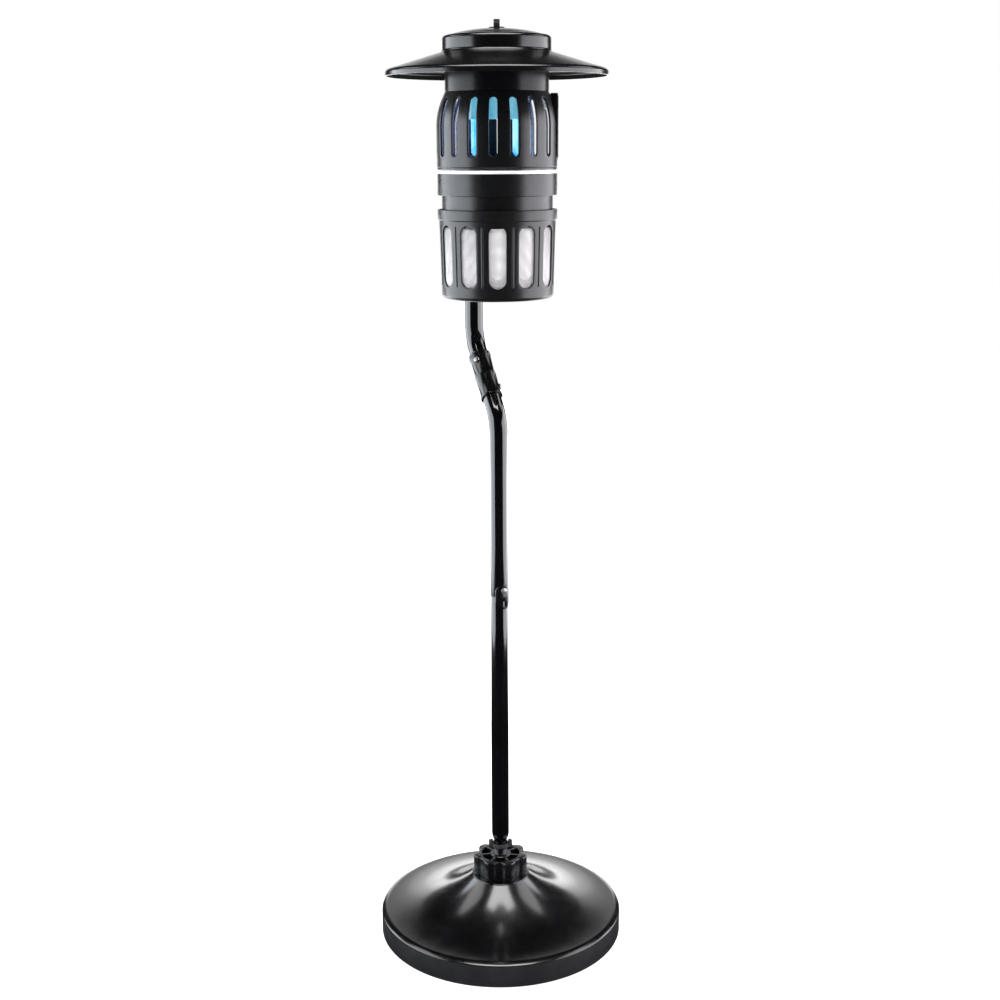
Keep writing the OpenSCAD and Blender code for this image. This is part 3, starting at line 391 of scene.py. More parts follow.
def eased(corners: list[Triple], steps: int = 3) -> list[Point]:
    """Rounds the corners of a closed outline.

    Args:
        corners: each corner's radius from the axis, height and rounding radius.
        steps: how many stretches each rounding has.

    Returns:
        The rounded outline's points.
    """
    points = []
    count = len(corners)
    for i, (r, z, ease) in enumerate(corners):
        here = Vector((r, z))
        if ease <= 0.0:
            points.append((r, z))
            continue
        before = Vector(corners[i - 1][:2]) - here
        after = Vector(corners[(i + 1) % count][:2]) - here
        reach = min(ease, before.length * 0.45, after.length * 0.45)
        start = here + before.normalized() * reach
        end = here + after.normalized() * reach
        for k in range(steps + 1):
            t = k / steps
            p = start * (1 - t) ** 2 + here * 2 * t * (1 - t) + end * t ** 2
            points.append((p.x, p.y))
    return points


def spun(bm: BMesh, outline: list[Point], steps: int = 128) -> None:
    """Spins an outline round the Z axis into a bmesh.

    Args:
        bm: the mesh that takes the ring.
        outline: the outline's points, as radius and height: closed, or open from axis to axis.
        steps: how many steps the turn has.
    """
    part = bmesh.new()
    verts = [part.verts.new((r, 0.0, z)) for r, z in outline]
    poles = outline[0][0] == 0.0 and outline[-1][0] == 0.0
    after = verts[1:] if poles else verts[1:] + verts[:1]
    edges = [part.edges.new(pair) for pair in zip(verts, after)]
    bmesh.ops.spin(part, geom=verts + edges, cent=(0, 0, 0), axis=(0, 0, 1), angle=FULL_TURN,
                   steps=steps, use_merge=True, use_duplicate=False)
    bmesh.ops.remove_doubles(part, verts=part.verts, dist=WELD)
    bmesh.ops.dissolve_degenerate(part, edges=part.edges, dist=TINY)
    bmesh.ops.recalc_face_normals(part, faces=part.faces)
    joined(bm, part)


def hoop(bm: BMesh, inside: float, outside: float, low: float, high: float) -> None:
    """Adds a plain ring with square corners.

    Args:
        bm: the mesh that takes the ring.
        inside: its inner radius.
        outside: its outer radius.
        low: the height of its foot.
        high: the height of its top.
    """
    spun(bm, [(inside, low), (outside, low), (outside, high), (inside, high)], 96)


def joined(bm: BMesh, part: BMesh, place: Matrix | None = None) -> None:
    """Adds one bmesh to another and frees it.

    Args:
        bm: the mesh that takes the part.
        part: the mesh that is added.
        place: where it goes, or None to leave it.
    """
    if place is not None:
        bmesh.ops.transform(part, matrix=place, verts=part.verts)
    keep = bpy.data.meshes.new("part")
    part.to_mesh(keep)
    part.free()
    bm.from_mesh(keep)
    bpy.data.meshes.remove(keep)


def pin(bm: BMesh, radius: float, length: float, place: Matrix, ease: float, sides: int) -> None:
    """Adds a round pin along +Z with eased ends.

    Args:
        bm: the mesh that takes the pin.
        radius: its radius.
        length: its length.
        place: where its foot goes.
        ease: the rounding of its ends.
        sides: how many sides it has.
    """
    part = bmesh.new()
    bmesh.ops.create_cone(part, cap_ends=True, segments=sides, radius1=radius, radius2=radius, depth=length)
    bmesh.ops.translate(part, vec=(0, 0, length / 2), verts=part.verts)
    rims = [e for e in part.edges if e.calc_face_angle(0.0) > SHARP]
    bevel(part, rims, ease)
    joined(bm, part, place)


def block(bm: BMesh, size: Triple, centre: Triple,
          ease: float = 0.0005, place: Matrix | None = None) -> None:
    """Adds an eased block.

    Args:
        bm: the mesh that takes the block.
        size: its three sizes.
        centre: its middle.
        ease: the rounding of its edges.
        place: where it goes after that, or None.
    """
    part = bmesh.new()
    bmesh.ops.create_cube(part, size=1.0)
    bmesh.ops.scale(part, vec=size, verts=part.verts)
    bevel(part, part.edges[:], ease)
    bmesh.ops.translate(part, vec=centre, verts=part.verts)
    joined(bm, part, place)


def bevel(bm: BMesh, edges: list[BMEdge], ease: float, clamp: bool = False) -> None:
    """Rounds edges of a bmesh, each with two narrow faces."""
    bmesh.ops.bevel(bm, geom=edges, offset=ease, affect="EDGES", segments=2, profile=0.5, material=-1,
                    clamp_overlap=clamp)


def of_kind(geometry: list, kind: type) -> list:
    """Returns the vertices, or the edges, among what an operator made."""
    return [g for g in geometry if isinstance(g, kind)]


def pushed(bm: BMesh, ring: list[BMEdge], run: Vector) -> list[BMEdge]:
    """Extrudes a ring of edges along a run and returns the new ring."""
    made = bmesh.ops.extrude_edge_only(bm, edges=ring)["geom"]
    bmesh.ops.translate(bm, vec=run, verts=of_kind(made, BMVert))
    return of_kind(made, BMEdge)


def bent(bm: BMesh, ring: list[BMEdge], centre: Triple, axis: Triple, turn: float, steps: int
         ) -> list[BMEdge]:
    """Sweeps a ring of edges round a bend.

    Args:
        bm: the ring's mesh.
        ring: the ring's edges.
        centre: a point on the bend's axis.
        axis: the axis's direction.
        turn: the bend's angle in radians.
        steps: how many steps the bend has.

    Returns:
        The edges of the last ring.
    """
    geometry = ring + list({v for e in ring for v in e.verts})
    made = bmesh.ops.spin(bm, geom=geometry, cent=centre, axis=axis, angle=turn, steps=steps,
                          use_merge=False, use_duplicate=False)
    return of_kind(made["geom_last"], BMEdge)


def raised(bm: BMesh, run: Vector) -> None:
    """Extrudes a flat mesh along a run into a solid."""
    made = bmesh.ops.extrude_face_region(bm, geom=bm.faces[:])["geom"]
    bmesh.ops.translate(bm, vec=run, verts=of_kind(made, BMVert))
    bmesh.ops.recalc_face_normals(bm, faces=bm.faces)


def looks_in(face: BMFace) -> bool:
    """Tells whether a face looks towards the Z axis."""
    middle = face.calc_center_median()
    return face.normal.dot(-Vector((middle.x, middle.y, 0.0)).normalized()) > 0.5


def turned(degrees: float, axis: str = "Z") -> Matrix:
    """Returns a turn about an axis through the origin; about Z, positive is from the front towards +X."""
    return Matrix.Rotation(math.radians(degrees), 4, axis)


def moved(x: float, y: float, z: float) -> Matrix:
    """Returns a move."""
    return Matrix.Translation((x, y, z))


def level(node: str, corner: int) -> float:
    """Makes a field that takes a CAD node's lowest (corner 0) or highest (corner 1) level."""
    return field(default_factory=lambda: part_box(node)[corner].z)


def smooth(obj: Object, sharp: float = SHARP) -> None:
    """Shades a piece smooth, with its corners kept.

    Args:
        obj: the piece.
        sharp: the angle past which an edge is a corner.
    """
    bm = bmesh.new()
    bm.from_mesh(obj.data)
    for face in bm.faces:
        face.smooth = True
    for edge in bm.edges:
        edge.smooth = edge.calc_face_angle(0.0) < sharp
    bm.to_mesh(obj.data)
    bm.free()


def settle(bm: BMesh, name: str, body: str, finish: Finish, stands_for: list[str],
           sharp: float = SHARP, extra: tuple[Finish, ...] = ()) -> Object:
    """Turns a bmesh into a finished piece that rides on its body.

    Args:
        bm: the piece's mesh, which is freed.
        name: the piece's name.
        body: the body that it rides on.
        finish: its finish.
        stands_for: the CAD nodes that it stands for.
        sharp: the angle past which an edge is a corner.
        extra: further finishes, for faces whose material index says so.

    Returns:
        The piece.
    """
    mesh = bpy.data.meshes.new(name)
    bm.to_mesh(mesh)
    bm.free()
    obj = bpy.data.objects.new(name, mesh)
    bpy.context.scene.collection.objects.link(obj)
    for kind in (finish, *extra):
        mesh.materials.append(kind.paint())
    smooth(obj, sharp)
    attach(obj, body)
    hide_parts(*stands_for)
    log.info("%s: %d faces on %s, for %s", name, len(mesh.polygons), body, ", ".join(stands_for))
    return obj


def eased_copy(node: str, body: str, finish: Finish, ease: float = 0.3 * MM) -> Object:
    """Makes a copy of a CAD node with its corners eased, to stand for it.

    Args:
        node: the CAD node.
        body: the body that it rides on.
        finish: its finish.
        ease: the rounding of its corners.

    Returns:
        The eased piece.
    """
    bm = bmesh.new()
    bm.from_mesh(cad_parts[node].data)
    bmesh.ops.remove_doubles(bm, verts=bm.verts, dist=2e-6)
    bmesh.ops.dissolve_limit(bm, angle_limit=math.radians(0.6), verts=bm.verts, edges=bm.edges,
                             use_dissolve_boundaries=False)
    corners = [e for e in bm.edges if e.is_manifold and e.calc_face_angle(0.0) > math.radians(40)]
    bevel(bm, corners, ease, clamp=True)
    return settle(bm, node + "_eased", body, finish, [node])


def dressed(nodes: dict[str, Finish]) -> None:
    """Gives CAD nodes that stay as they are their finishes.

    Args:
        nodes: each node's finish.
    """
    for node, finish in nodes.items():
        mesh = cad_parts[node].data
        mesh.materials.clear()
        mesh.materials.append(finish.paint())
        log.info("%s keeps its CAD mesh, finished as %s", node, finish.value.name)


def reach(node: str) -> float:
    """Returns a CAD node's largest distance from the head's axis, taken along X."""
    low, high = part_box(node)
    return max(abs(low.x), abs(high.x))


# ---------------------------------------------------------------- the slotted walls


@dataclass
class SlottedWall:
    """A wall turned about the Z axis with a ring of round-ended slots, built from one cell."""

    slots: int
    slot_width: float
    slot_low: float
    slot_high: float
    cell_low: float
    cell_high: float
    reference: float
    thickness: float
    phase: float
    rows_below: list[float]
    rows_above: list[float]
    side_cuts: int = 8

    def cell(self) -> BMesh:
        """Returns one flat cell: X is the distance round the wall, Y is the height."""
        half = math.pi / self.slots * self.reference
        low_mid = self.slot_low + self.slot_width / 2
        high_mid = self.slot_high - self.slot_width / 2
        bm = bmesh.new()
        bmesh.ops.create_circle(bm, cap_ends=False, segments=32, radius=self.slot_width / 2)
        for v in bm.verts:
            if abs(v.co.y) < TINY:
                v.co.y = (low_mid + high_mid) / 2
            else:
                v.co.y += high_mid if v.co.y > 0 else low_mid
        long_sides = [e for e in bm.edges if e.calc_length() > self.slot_width * 0.5]
        bmesh.ops.subdivide_edges(bm, edges=long_sides, cuts=self.side_cuts)
        rim = bm.edges[:]
        grown = bmesh.ops.extrude_edge_only(bm, edges=rim)["geom"]
        for v in of_kind(grown, BMVert):
            if low_mid <= v.co.y <= high_mid:
                v.co.x = math.copysign(half, v.co.x)
                continue
            middle = high_mid if v.co.y > high_mid else low_mid
            reach_y = self.cell_high - high_mid if v.co.y > high_mid else low_mid - self.cell_low
            turn = Vector((v.co.x, v.co.y - middle)).normalized()
            scale = max(abs(turn.x), abs(turn.y))
            v.co.x = half * turn.x / scale
            v.co.y = middle + reach_y * turn.y / scale
        spokes = [e for e in bm.edges if sum(v.is_boundary for v in e.verts) == 2
                  and not e.is_boundary]
        bmesh.ops.subdivide_edges(bm, edges=spokes, cuts=2, use_grid_fill=True)
        self._rows(bm, self.cell_low, self.rows_below)
        self._rows(bm, self.cell_high, self.rows_above)
        return bm

    def _rows(self, bm: BMesh, start: float, heights: list[float]) -> None:
        """Grows rows of faces from one end of the cell.

        Args:
            bm: the cell.
            start: the height of that end.
            heights: the height of each new row's end.
        """
        for height in heights:
            ends = [e for e in bm.edges if e.is_boundary
                    and all(abs(v.co.y - start) < TINY for v in e.verts)]
            grown = bmesh.ops.extrude_edge_only(bm, edges=ends)["geom"]
            for v in of_kind(grown, BMVert):
                v.co.y = height
            start = height

    def build(self, radius_at: Callable[[float], float], ease: float = 0.35 * MM) -> BMesh:
        """Wraps the cell round the axis as often as there are slots, thickens it and eases its rims.

        Args:
            radius_at: the wall's outer radius at a height.
            ease: the rounding of the slots' rims.

        Returns:
            The wall's mesh.
        """
        flat = self.cell()
        wall = bmesh.new()
        for i in range(self.slots):
            part = flat.copy()
            turn = math.radians(self.phase) + i * FULL_TURN / self.slots
            for v in part.verts:
                angle = v.co.x / self.reference + turn
                radius = radius_at(v.co.y)
                v.co = (radius * math.sin(angle), -radius * math.cos(angle), v.co.y)
            joined(wall, part)
        flat.free()
        bmesh.ops.remove_doubles(wall, verts=wall.verts, dist=WELD)
        bmesh.ops.recalc_face_normals(wall, faces=wall.faces)
        probe = wall.faces[0]
        if probe.normal.dot(Vector((probe.calc_center_median().x, probe.calc_center_median().y, 0))) < 0:
            bmesh.ops.reverse_faces(wall, faces=wall.faces)
        bmesh.ops.solidify(wall, geom=wall.faces[:], thickness=self.thickness)
        bmesh.ops.recalc_face_normals(wall, faces=wall.faces)
        rims = [e for e in wall.edges if e.calc_face_angle(0.0) > math.radians(55)]
        bevel(wall, rims, ease)
        return wall


# ---------------------------------------------------------------- the foot


@dataclass
class Foot:
    """The weighted foot: a gloss shell with a satin rim, and what it holds."""

    radius: float = field(default_factory=lambda: reach("base_shell"))
    floor: float = level("base_shell", 0)
    top: float = level("base_shell", 1)
    rim_height: float = 30 * MM
    edge: float = 5 * MM
    curve_top: float = 75 * MM
    boss: float = 37 * MM
    bore: float = 14.1 * MM
    wall: float = 3 * MM
    bend: float = 2.2

    def height_at(self, radius: float) -> float:
        """Returns the height of the curved top at a radius."""
        low = self.rim_height + 3 * MM
        run = self.radius - self.edge - self.boss
        return low + (self.curve_top - low) * ((self.radius - self.edge - radius) / run) ** self.bend

    def shell(self) -> Object:
        """Builds the shell: a satin upright rim, a bright eased edge and the gloss top."""
        bm = bmesh.new()
        out = self.radius
        lip = [(out - self.wall, self.floor), (out - 0.6 * MM, self.floor), (out, self.floor + 0.8 * MM)]
        edge = arc((out - 1.3 * MM, self.rim_height - 0.8 * MM), 1.3 * MM, 0, 62, 5)
        run = out - self.edge - self.boss
        radii = [out - self.edge - run * i / 40 for i in range(41)]
        top = [(radius, self.height_at(radius)) for radius in radii]
        boss = arc((self.boss - MM, self.top - MM), MM, 0, 90, 4)
        inner = [(self.bore, self.top), (self.bore, self.top - 3 * MM),
                 (self.boss - self.wall, self.top - 3 * MM)]
        under = [(r - 1.5 * MM, z - self.wall) for r, z in reversed(top[::4])]
        spun(bm, lip + edge + top + boss + inner + under, 192)
        for face in bm.faces:
            low = face.calc_center_median().z
            face.material_index = int(low < self.rim_height - 1.2 * MM)
        return settle(bm, "foot_shell", "foot", Finish.FOOT_GLOSS, ["base_shell"],
                      math.radians(50), (Finish.FOOT_RIM,))

    def build(self) -> None:
        """Builds the foot and dresses what is under it."""
        self.shell()
        eased_copy("rubber_feet", "foot", Finish.RUBBER, 0.6 * MM)
        eased_copy("base_pan", "foot", Finish.PAN, 0.4 * MM)
        dressed({"ballast_disc": Finish.BALLAST, "base_socket": Finish.SOCKET, "base_screws": Finish.SCREW,
                 "flange_bolts": Finish.SCREW})


# ---------------------------------------------------------------- the knob


@dataclass
class LockKnob:
    """The lobed knob that clamps the mast."""

    low: float = level("lock_knob", 0)
    high: float = level("lock_knob", 1)
    lobes: int = 7
    reach_out: float = 34.8 * MM
    lobe: float = 9 * MM
    phase: float = 190.0
    pocket: float = 24.5 * MM
    hub: float = 13.5 * MM
    bore: float = 7.9 * MM
    lobe_steps: int = 24
    valley: float = 1.2 * MM

    def radius_at(self, angle: float, shrink: float) -> float:
        """Returns the lobed outline's radius.

        Args:
            angle: the direction, in radians.
            shrink: how far the outline is drawn in.

        Returns:
            The radius there.
        """
        pitch = FULL_TURN / self.lobes
        off = (angle - math.radians(self.phase) + pitch / 2) % pitch - pitch / 2
        centre = self.reach_out - self.lobe
        size = self.lobe - shrink
        core = self.reach_out - self.lobe * 0.62 - shrink
        side = size ** 2 - (centre * math.sin(off)) ** 2
        lobe = centre * math.cos(off) + math.sqrt(side) if side > 0 else 0.0
        gap = max(-1.0, min(1.0, (lobe - core) / self.valley / 2))
        return max(lobe, core) + self.valley * (1 - abs(gap)) ** 2 / 2

    def ring(self, bm: BMesh, height: float, shrink: float = 0.0, radius: float = 0.0
             ) -> list[BMEdge]:
        """Adds one ring of the knob: lobed, or round where a radius is given.

        Args:
            bm: the knob's mesh.
            height: the ring's height.
            shrink: how far a lobed ring is drawn in.
            radius: a round ring's radius, or 0 for a lobed ring.

        Returns:
            The ring's edges.
        """
        segments = self.lobes * self.lobe_steps
        made = bmesh.ops.create_circle(bm, cap_ends=False, segments=segments, radius=1.0)["verts"]
        for v in made:
            angle = math.atan2(v.co.y, v.co.x)
            size = radius or self.radius_at(angle, shrink)
            v.co = (size * math.cos(angle), size * math.sin(angle), height)
        return list({e for v in made for e in v.link_edges})

    def build(self) -> None:
        """Builds the knob from rings, then its ribs and lobe sockets."""
        bm = bmesh.new()
        top, low = self.high, self.low
        deep = top - 6 * MM
        outside = [(low, 1.2 * MM), (low + 0.3 * MM, 0.4 * MM), (low + 1.1 * MM, 0.0), (top - 1.6 * MM, 0.0),
                   (top - 0.8 * MM, 0.25 * MM), (top - 0.2 * MM, 0.8 * MM), (top, 1.6 * MM)]
        inside = [(top, self.pocket + 0.8 * MM), (top - 0.5 * MM, self.pocket),
                  (deep, self.pocket - 0.4 * MM), (deep, self.hub + 0.4 * MM), (top - 0.5 * MM, self.hub),
                  (top, self.hub - 0.6 * MM), (top, self.bore + 0.5 * MM), (top - 0.5 * MM, self.bore)]
        rings = [self.ring(bm, low, radius=self.bore)]
        rings += [self.ring(bm, height, shrink) for height, shrink in outside]
        rings += [self.ring(bm, height, radius=radius) for height, radius in inside]
        for one, two in zip(rings, rings[1:] + rings[:1]):
            bmesh.ops.bridge_loops(bm, edges=one + two)
        bmesh.ops.recalc_face_normals(bm, faces=bm.faces)
        for i in range(self.lobes):
            place = turned(self.phase + i * 360 / self.lobes)
            block(bm, (13 * MM, 2.6 * MM, 6 * MM), (19 * MM, 0, top - 3.4 * MM), 0.5 * MM, place)
            cup = bmesh.new()
            spun(cup, eased([(3.4 * MM, -0.4 * MM, 0), (3.4 * MM, 0.35 * MM, 0.2 * MM),
                             (2.6 * MM, 0.35 * MM, 0.2 * MM), (2.3 * MM, -0.4 * MM, 0)]), 24)
            joined(bm, cup, place @ moved(self.reach_out - 7.2 * MM, 0, top - 0.35 * MM))
        settle(bm, "lock_knob_moulding", "knob", Finish.KNOB, ["lock_knob"])


# ---------------------------------------------------------------- the mast


@dataclass
class Mast:
    """The three tubes of the mast, their joints, buttons, sleeve, clip and bracket."""

    tube: float = 11.5 * MM
    lower_tube: float = 11.1 * MM
    swage: float = 8.2 * MM
    swage_low: float = 121 * MM
    swage_high: float = 130 * MM
    joint: float = 453 * MM
    bend_height: float = 674 * MM
    run: float = 89.2 * MM
    offset_turn: float = 109.65
    bend_radius: float = 50 * MM
    bend_turn: float = 45.0
    tube_wall: float = 1.2 * MM
    button_inset: float = 12 * MM
    button_flange: float = 9.25 * MM
    button_radius: float = 3.6 * MM
    flange_radius: float = 4.3 * MM
    button_turns: Triple = (-61.0, 240.0, 135.0)
    thread_start: float = 103.4 * MM
    thread_turns: int = 3
    sleeve_length: float = 65 * MM
    sleeve_radius: float = 13 * MM
    sides: int = 64

    def plane(self) -> Matrix:
        """Returns the turn into the bend's plane, where +X runs towards the offset."""
        return turned(self.offset_turn)

    def slope(self, along: float) -> Matrix:
        """Returns a place on the slope, with +Z up the slope, at a distance along it."""
        return self.plane() @ moved(0, 0, self.bend_height) @ turned(self.bend_turn, "Y") @ moved(0, 0, along)

    @property
    def tangent(self) -> float:
        """The length of a bend's tangent."""
        return self.bend_radius * math.tan(math.radians(self.bend_turn / 2))

    @property
    def slope_length(self) -> float:
        """The slope's length between the two corners."""
        return self.run * math.sqrt(2)

    @property
    def past_bend(self) -> float:
        """How far a tube goes on past its bend into the sleeve, along X and along Z."""
        return (self.slope_length / 2 - 0.2 * MM - self.tangent) / math.sqrt(2)

    def lower(self) -> None:
        """Builds the lower tube with its swaged end and eased upper lip."""
        bm = bmesh.new()
        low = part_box("lower_pole")[0].z
        spun(bm, eased([(self.swage - 1.2 * MM, low, 0), (self.swage, low, 0.4 * MM),
                        (self.swage, self.swage_low, 2 * MM), (self.lower_tube, self.swage_high, 3 * MM),
                        (self.lower_tube, self.joint - 0.3 * MM, 0.4 * MM),
                        (self.tube - 1.3 * MM, self.joint - 0.3 * MM, 0),
                        (self.tube - 1.3 * MM, self.joint + 40 * MM, 0.3 * MM),
                        (self.swage - 1.2 * MM, self.joint + 40 * MM, 0)], 4), self.sides)
        settle(bm, "lower_tube", "mast", Finish.POLE, ["lower_pole"])

    def swept(self, start: Vector, length: float, centre: Vector, after: Vector) -> BMesh:
        """Sweeps a tube along a straight, a bend and a second straight, in the bend's plane.

        Args:
            start: the middle of the tube's first ring.
            length: the first straight's length along Z, negative downwards.
            centre: the bend's centre.
            after: the second straight's run.

        Returns:
            The tube's closed wall.
        """
        bm = bmesh.new()
        bmesh.ops.create_circle(bm, cap_ends=False, segments=self.sides, radius=self.tube)
        bmesh.ops.translate(bm, vec=start, verts=bm.verts)
        ring = bm.edges[:]
        for step in (0.6 * MM, length - 0.6 * MM) if length > 0 else (length,):
            ring = pushed(bm, ring, Vector((0, 0, step)))
        ring = bent(bm, ring, centre, (0, 1, 0), math.radians(self.bend_turn), 16)
        pushed(bm, ring, after)
        bmesh.ops.recalc_face_normals(bm, faces=bm.faces)
        bmesh.ops.solidify(bm, geom=bm.faces[:], thickness=self.tube_wall)
        bmesh.ops.recalc_face_normals(bm, faces=bm.faces)
        bmesh.ops.transform(bm, matrix=self.plane(), verts=bm.verts)
        return bm

    def middle(self) -> None:
        """Builds the middle tube, from the joint up to the middle of the sleeve."""
        low = self.joint + 0.1 * MM
        high = self.bend_height - self.tangent
        bm = self.swept(Vector((0, 0, low)), high - low, Vector((self.bend_radius, 0, high)),
                        Vector((self.past_bend, 0, self.past_bend)))
        settle(bm, "middle_tube", "mast", Finish.POLE, ["middle_pole"])

    def upper(self) -> None:
        """Builds the upper tube, from the bracket down to the middle of the sleeve."""
        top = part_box("upper_pole")[1].z
        low = self.bend_height + self.run + self.tangent
        bm = self.swept(Vector((self.run, 0, top)), low - top, Vector((self.run - self.bend_radius, 0, low)),
                        Vector((-self.past_bend, 0, -self.past_bend)))
        settle(bm, "upper_tube", "mast", Finish.POLE, ["upper_pole"])

    def button(self, name: str, place: Matrix, face: float, flange: float) -> None:
        """Builds a snap button: a domed pin with a flange inside the tube.

        Args:
            name: the CAD node that it stands for.
            place: the button's place, with +Z pointing out of the tube.
            face: the distance of the surface that it comes out of.
            flange: the distance of its flange's outer face.
        """
        bm = bmesh.new()
        top = face + 2.2 * MM
        dome = [(self.button_radius * math.cos(a), top - 1.3 * MM + 1.3 * MM * math.sin(a))
                for a in (math.radians(15 * i) for i in range(6))]
        spun(bm, [(0.0, flange - MM), (self.flange_radius, flange - MM), (self.flange_radius, flange - 0.1 * MM),
                  (self.button_radius, flange), *dome, (0.0, top)], 40)
        bmesh.ops.transform(bm, matrix=place, verts=bm.verts)
        settle(bm, name + "_pin", name + "_body", Finish.BUTTON, [name])

    def stud(self) -> None:
        """Builds the threaded stud between the foot and the lower tube."""
        bm = bmesh.new()
        low, high = (corner.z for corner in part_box("pole_stud"))
        thread = []
        for i in range(self.thread_turns):
            z = self.thread_start + i * 2.4 * MM
            thread += [(7.8 * MM, z - 0.25 * MM), (7.25 * MM, z + 0.55 * MM), (7.25 * MM, z + 0.95 * MM),
                       (7.8 * MM, z + 1.75 * MM)]
        spun(bm, [(0.0, low), (7.4 * MM, low), (7.8 * MM, low + 0.4 * MM), *thread, (7.8 * MM, 111.7 * MM),
                  (7.5 * MM, 112 * MM), (6.95 * MM, 112 * MM), (6.95 * MM, high - 0.4 * MM), (6.5 * MM, high),
                  (0.0, high)], self.sides)
        settle(bm, "threaded_stud", "mast", Finish.THREAD, ["pole_stud"])

    def build(self) -> None:
        """Builds the mast from the stud up to the bracket."""
        self.stud()
        self.lower()
        self.middle()
        self.upper()
        eased_copy("foot_collar", "mast", Finish.SATIN, 0.5 * MM)
        eased_copy("joint_clip", "mast", Finish.SLEEVE, 0.25 * MM)
        eased_copy("offset_sleeve", "mast", Finish.SLEEVE, 0.25 * MM)
        eased_copy("pole_bracket", "mast", Finish.SATIN, 0.6 * MM)
        outward = turned(90, "Y")
        low = (self.slope_length - self.sleeve_length) / 2 + 2 * MM
        mid_turn, low_turn, top_turn = self.button_turns
        low_place = self.slope(low + self.button_inset) @ turned(low_turn)
        top_place = self.slope(low + self.sleeve_length - self.button_inset) @ turned(top_turn)
        mid_place = moved(0, 0, self.joint + 8 * MM) @ turned(mid_turn)
        self.button("mid_button", mid_place @ outward, self.tube, 7.76 * MM)
        self.button("sleeve_low_button", low_place @ outward, self.sleeve_radius, self.button_flange)
        self.button("sleeve_top_button", top_place @ outward, self.sleeve_radius, self.button_flange)
        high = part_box("pole_bracket")[1].z
        self.button("bracket_button", self.plane() @ moved(self.run, 0, high - 20 * MM) @ outward, 15 * MM,
                    self.button_flange)
        springs = ("mid_spring", "sleeve_low_spring", "sleeve_top_spring", "bracket_spring")
        dressed({name: Finish.SPRING for name in springs})
        dressed({"bracket_screws": Finish.SCREW, "stud_washer": Finish.SCREW, "stud_nut": Finish.SCREW})


# ---------------------------------------------------------------- the head


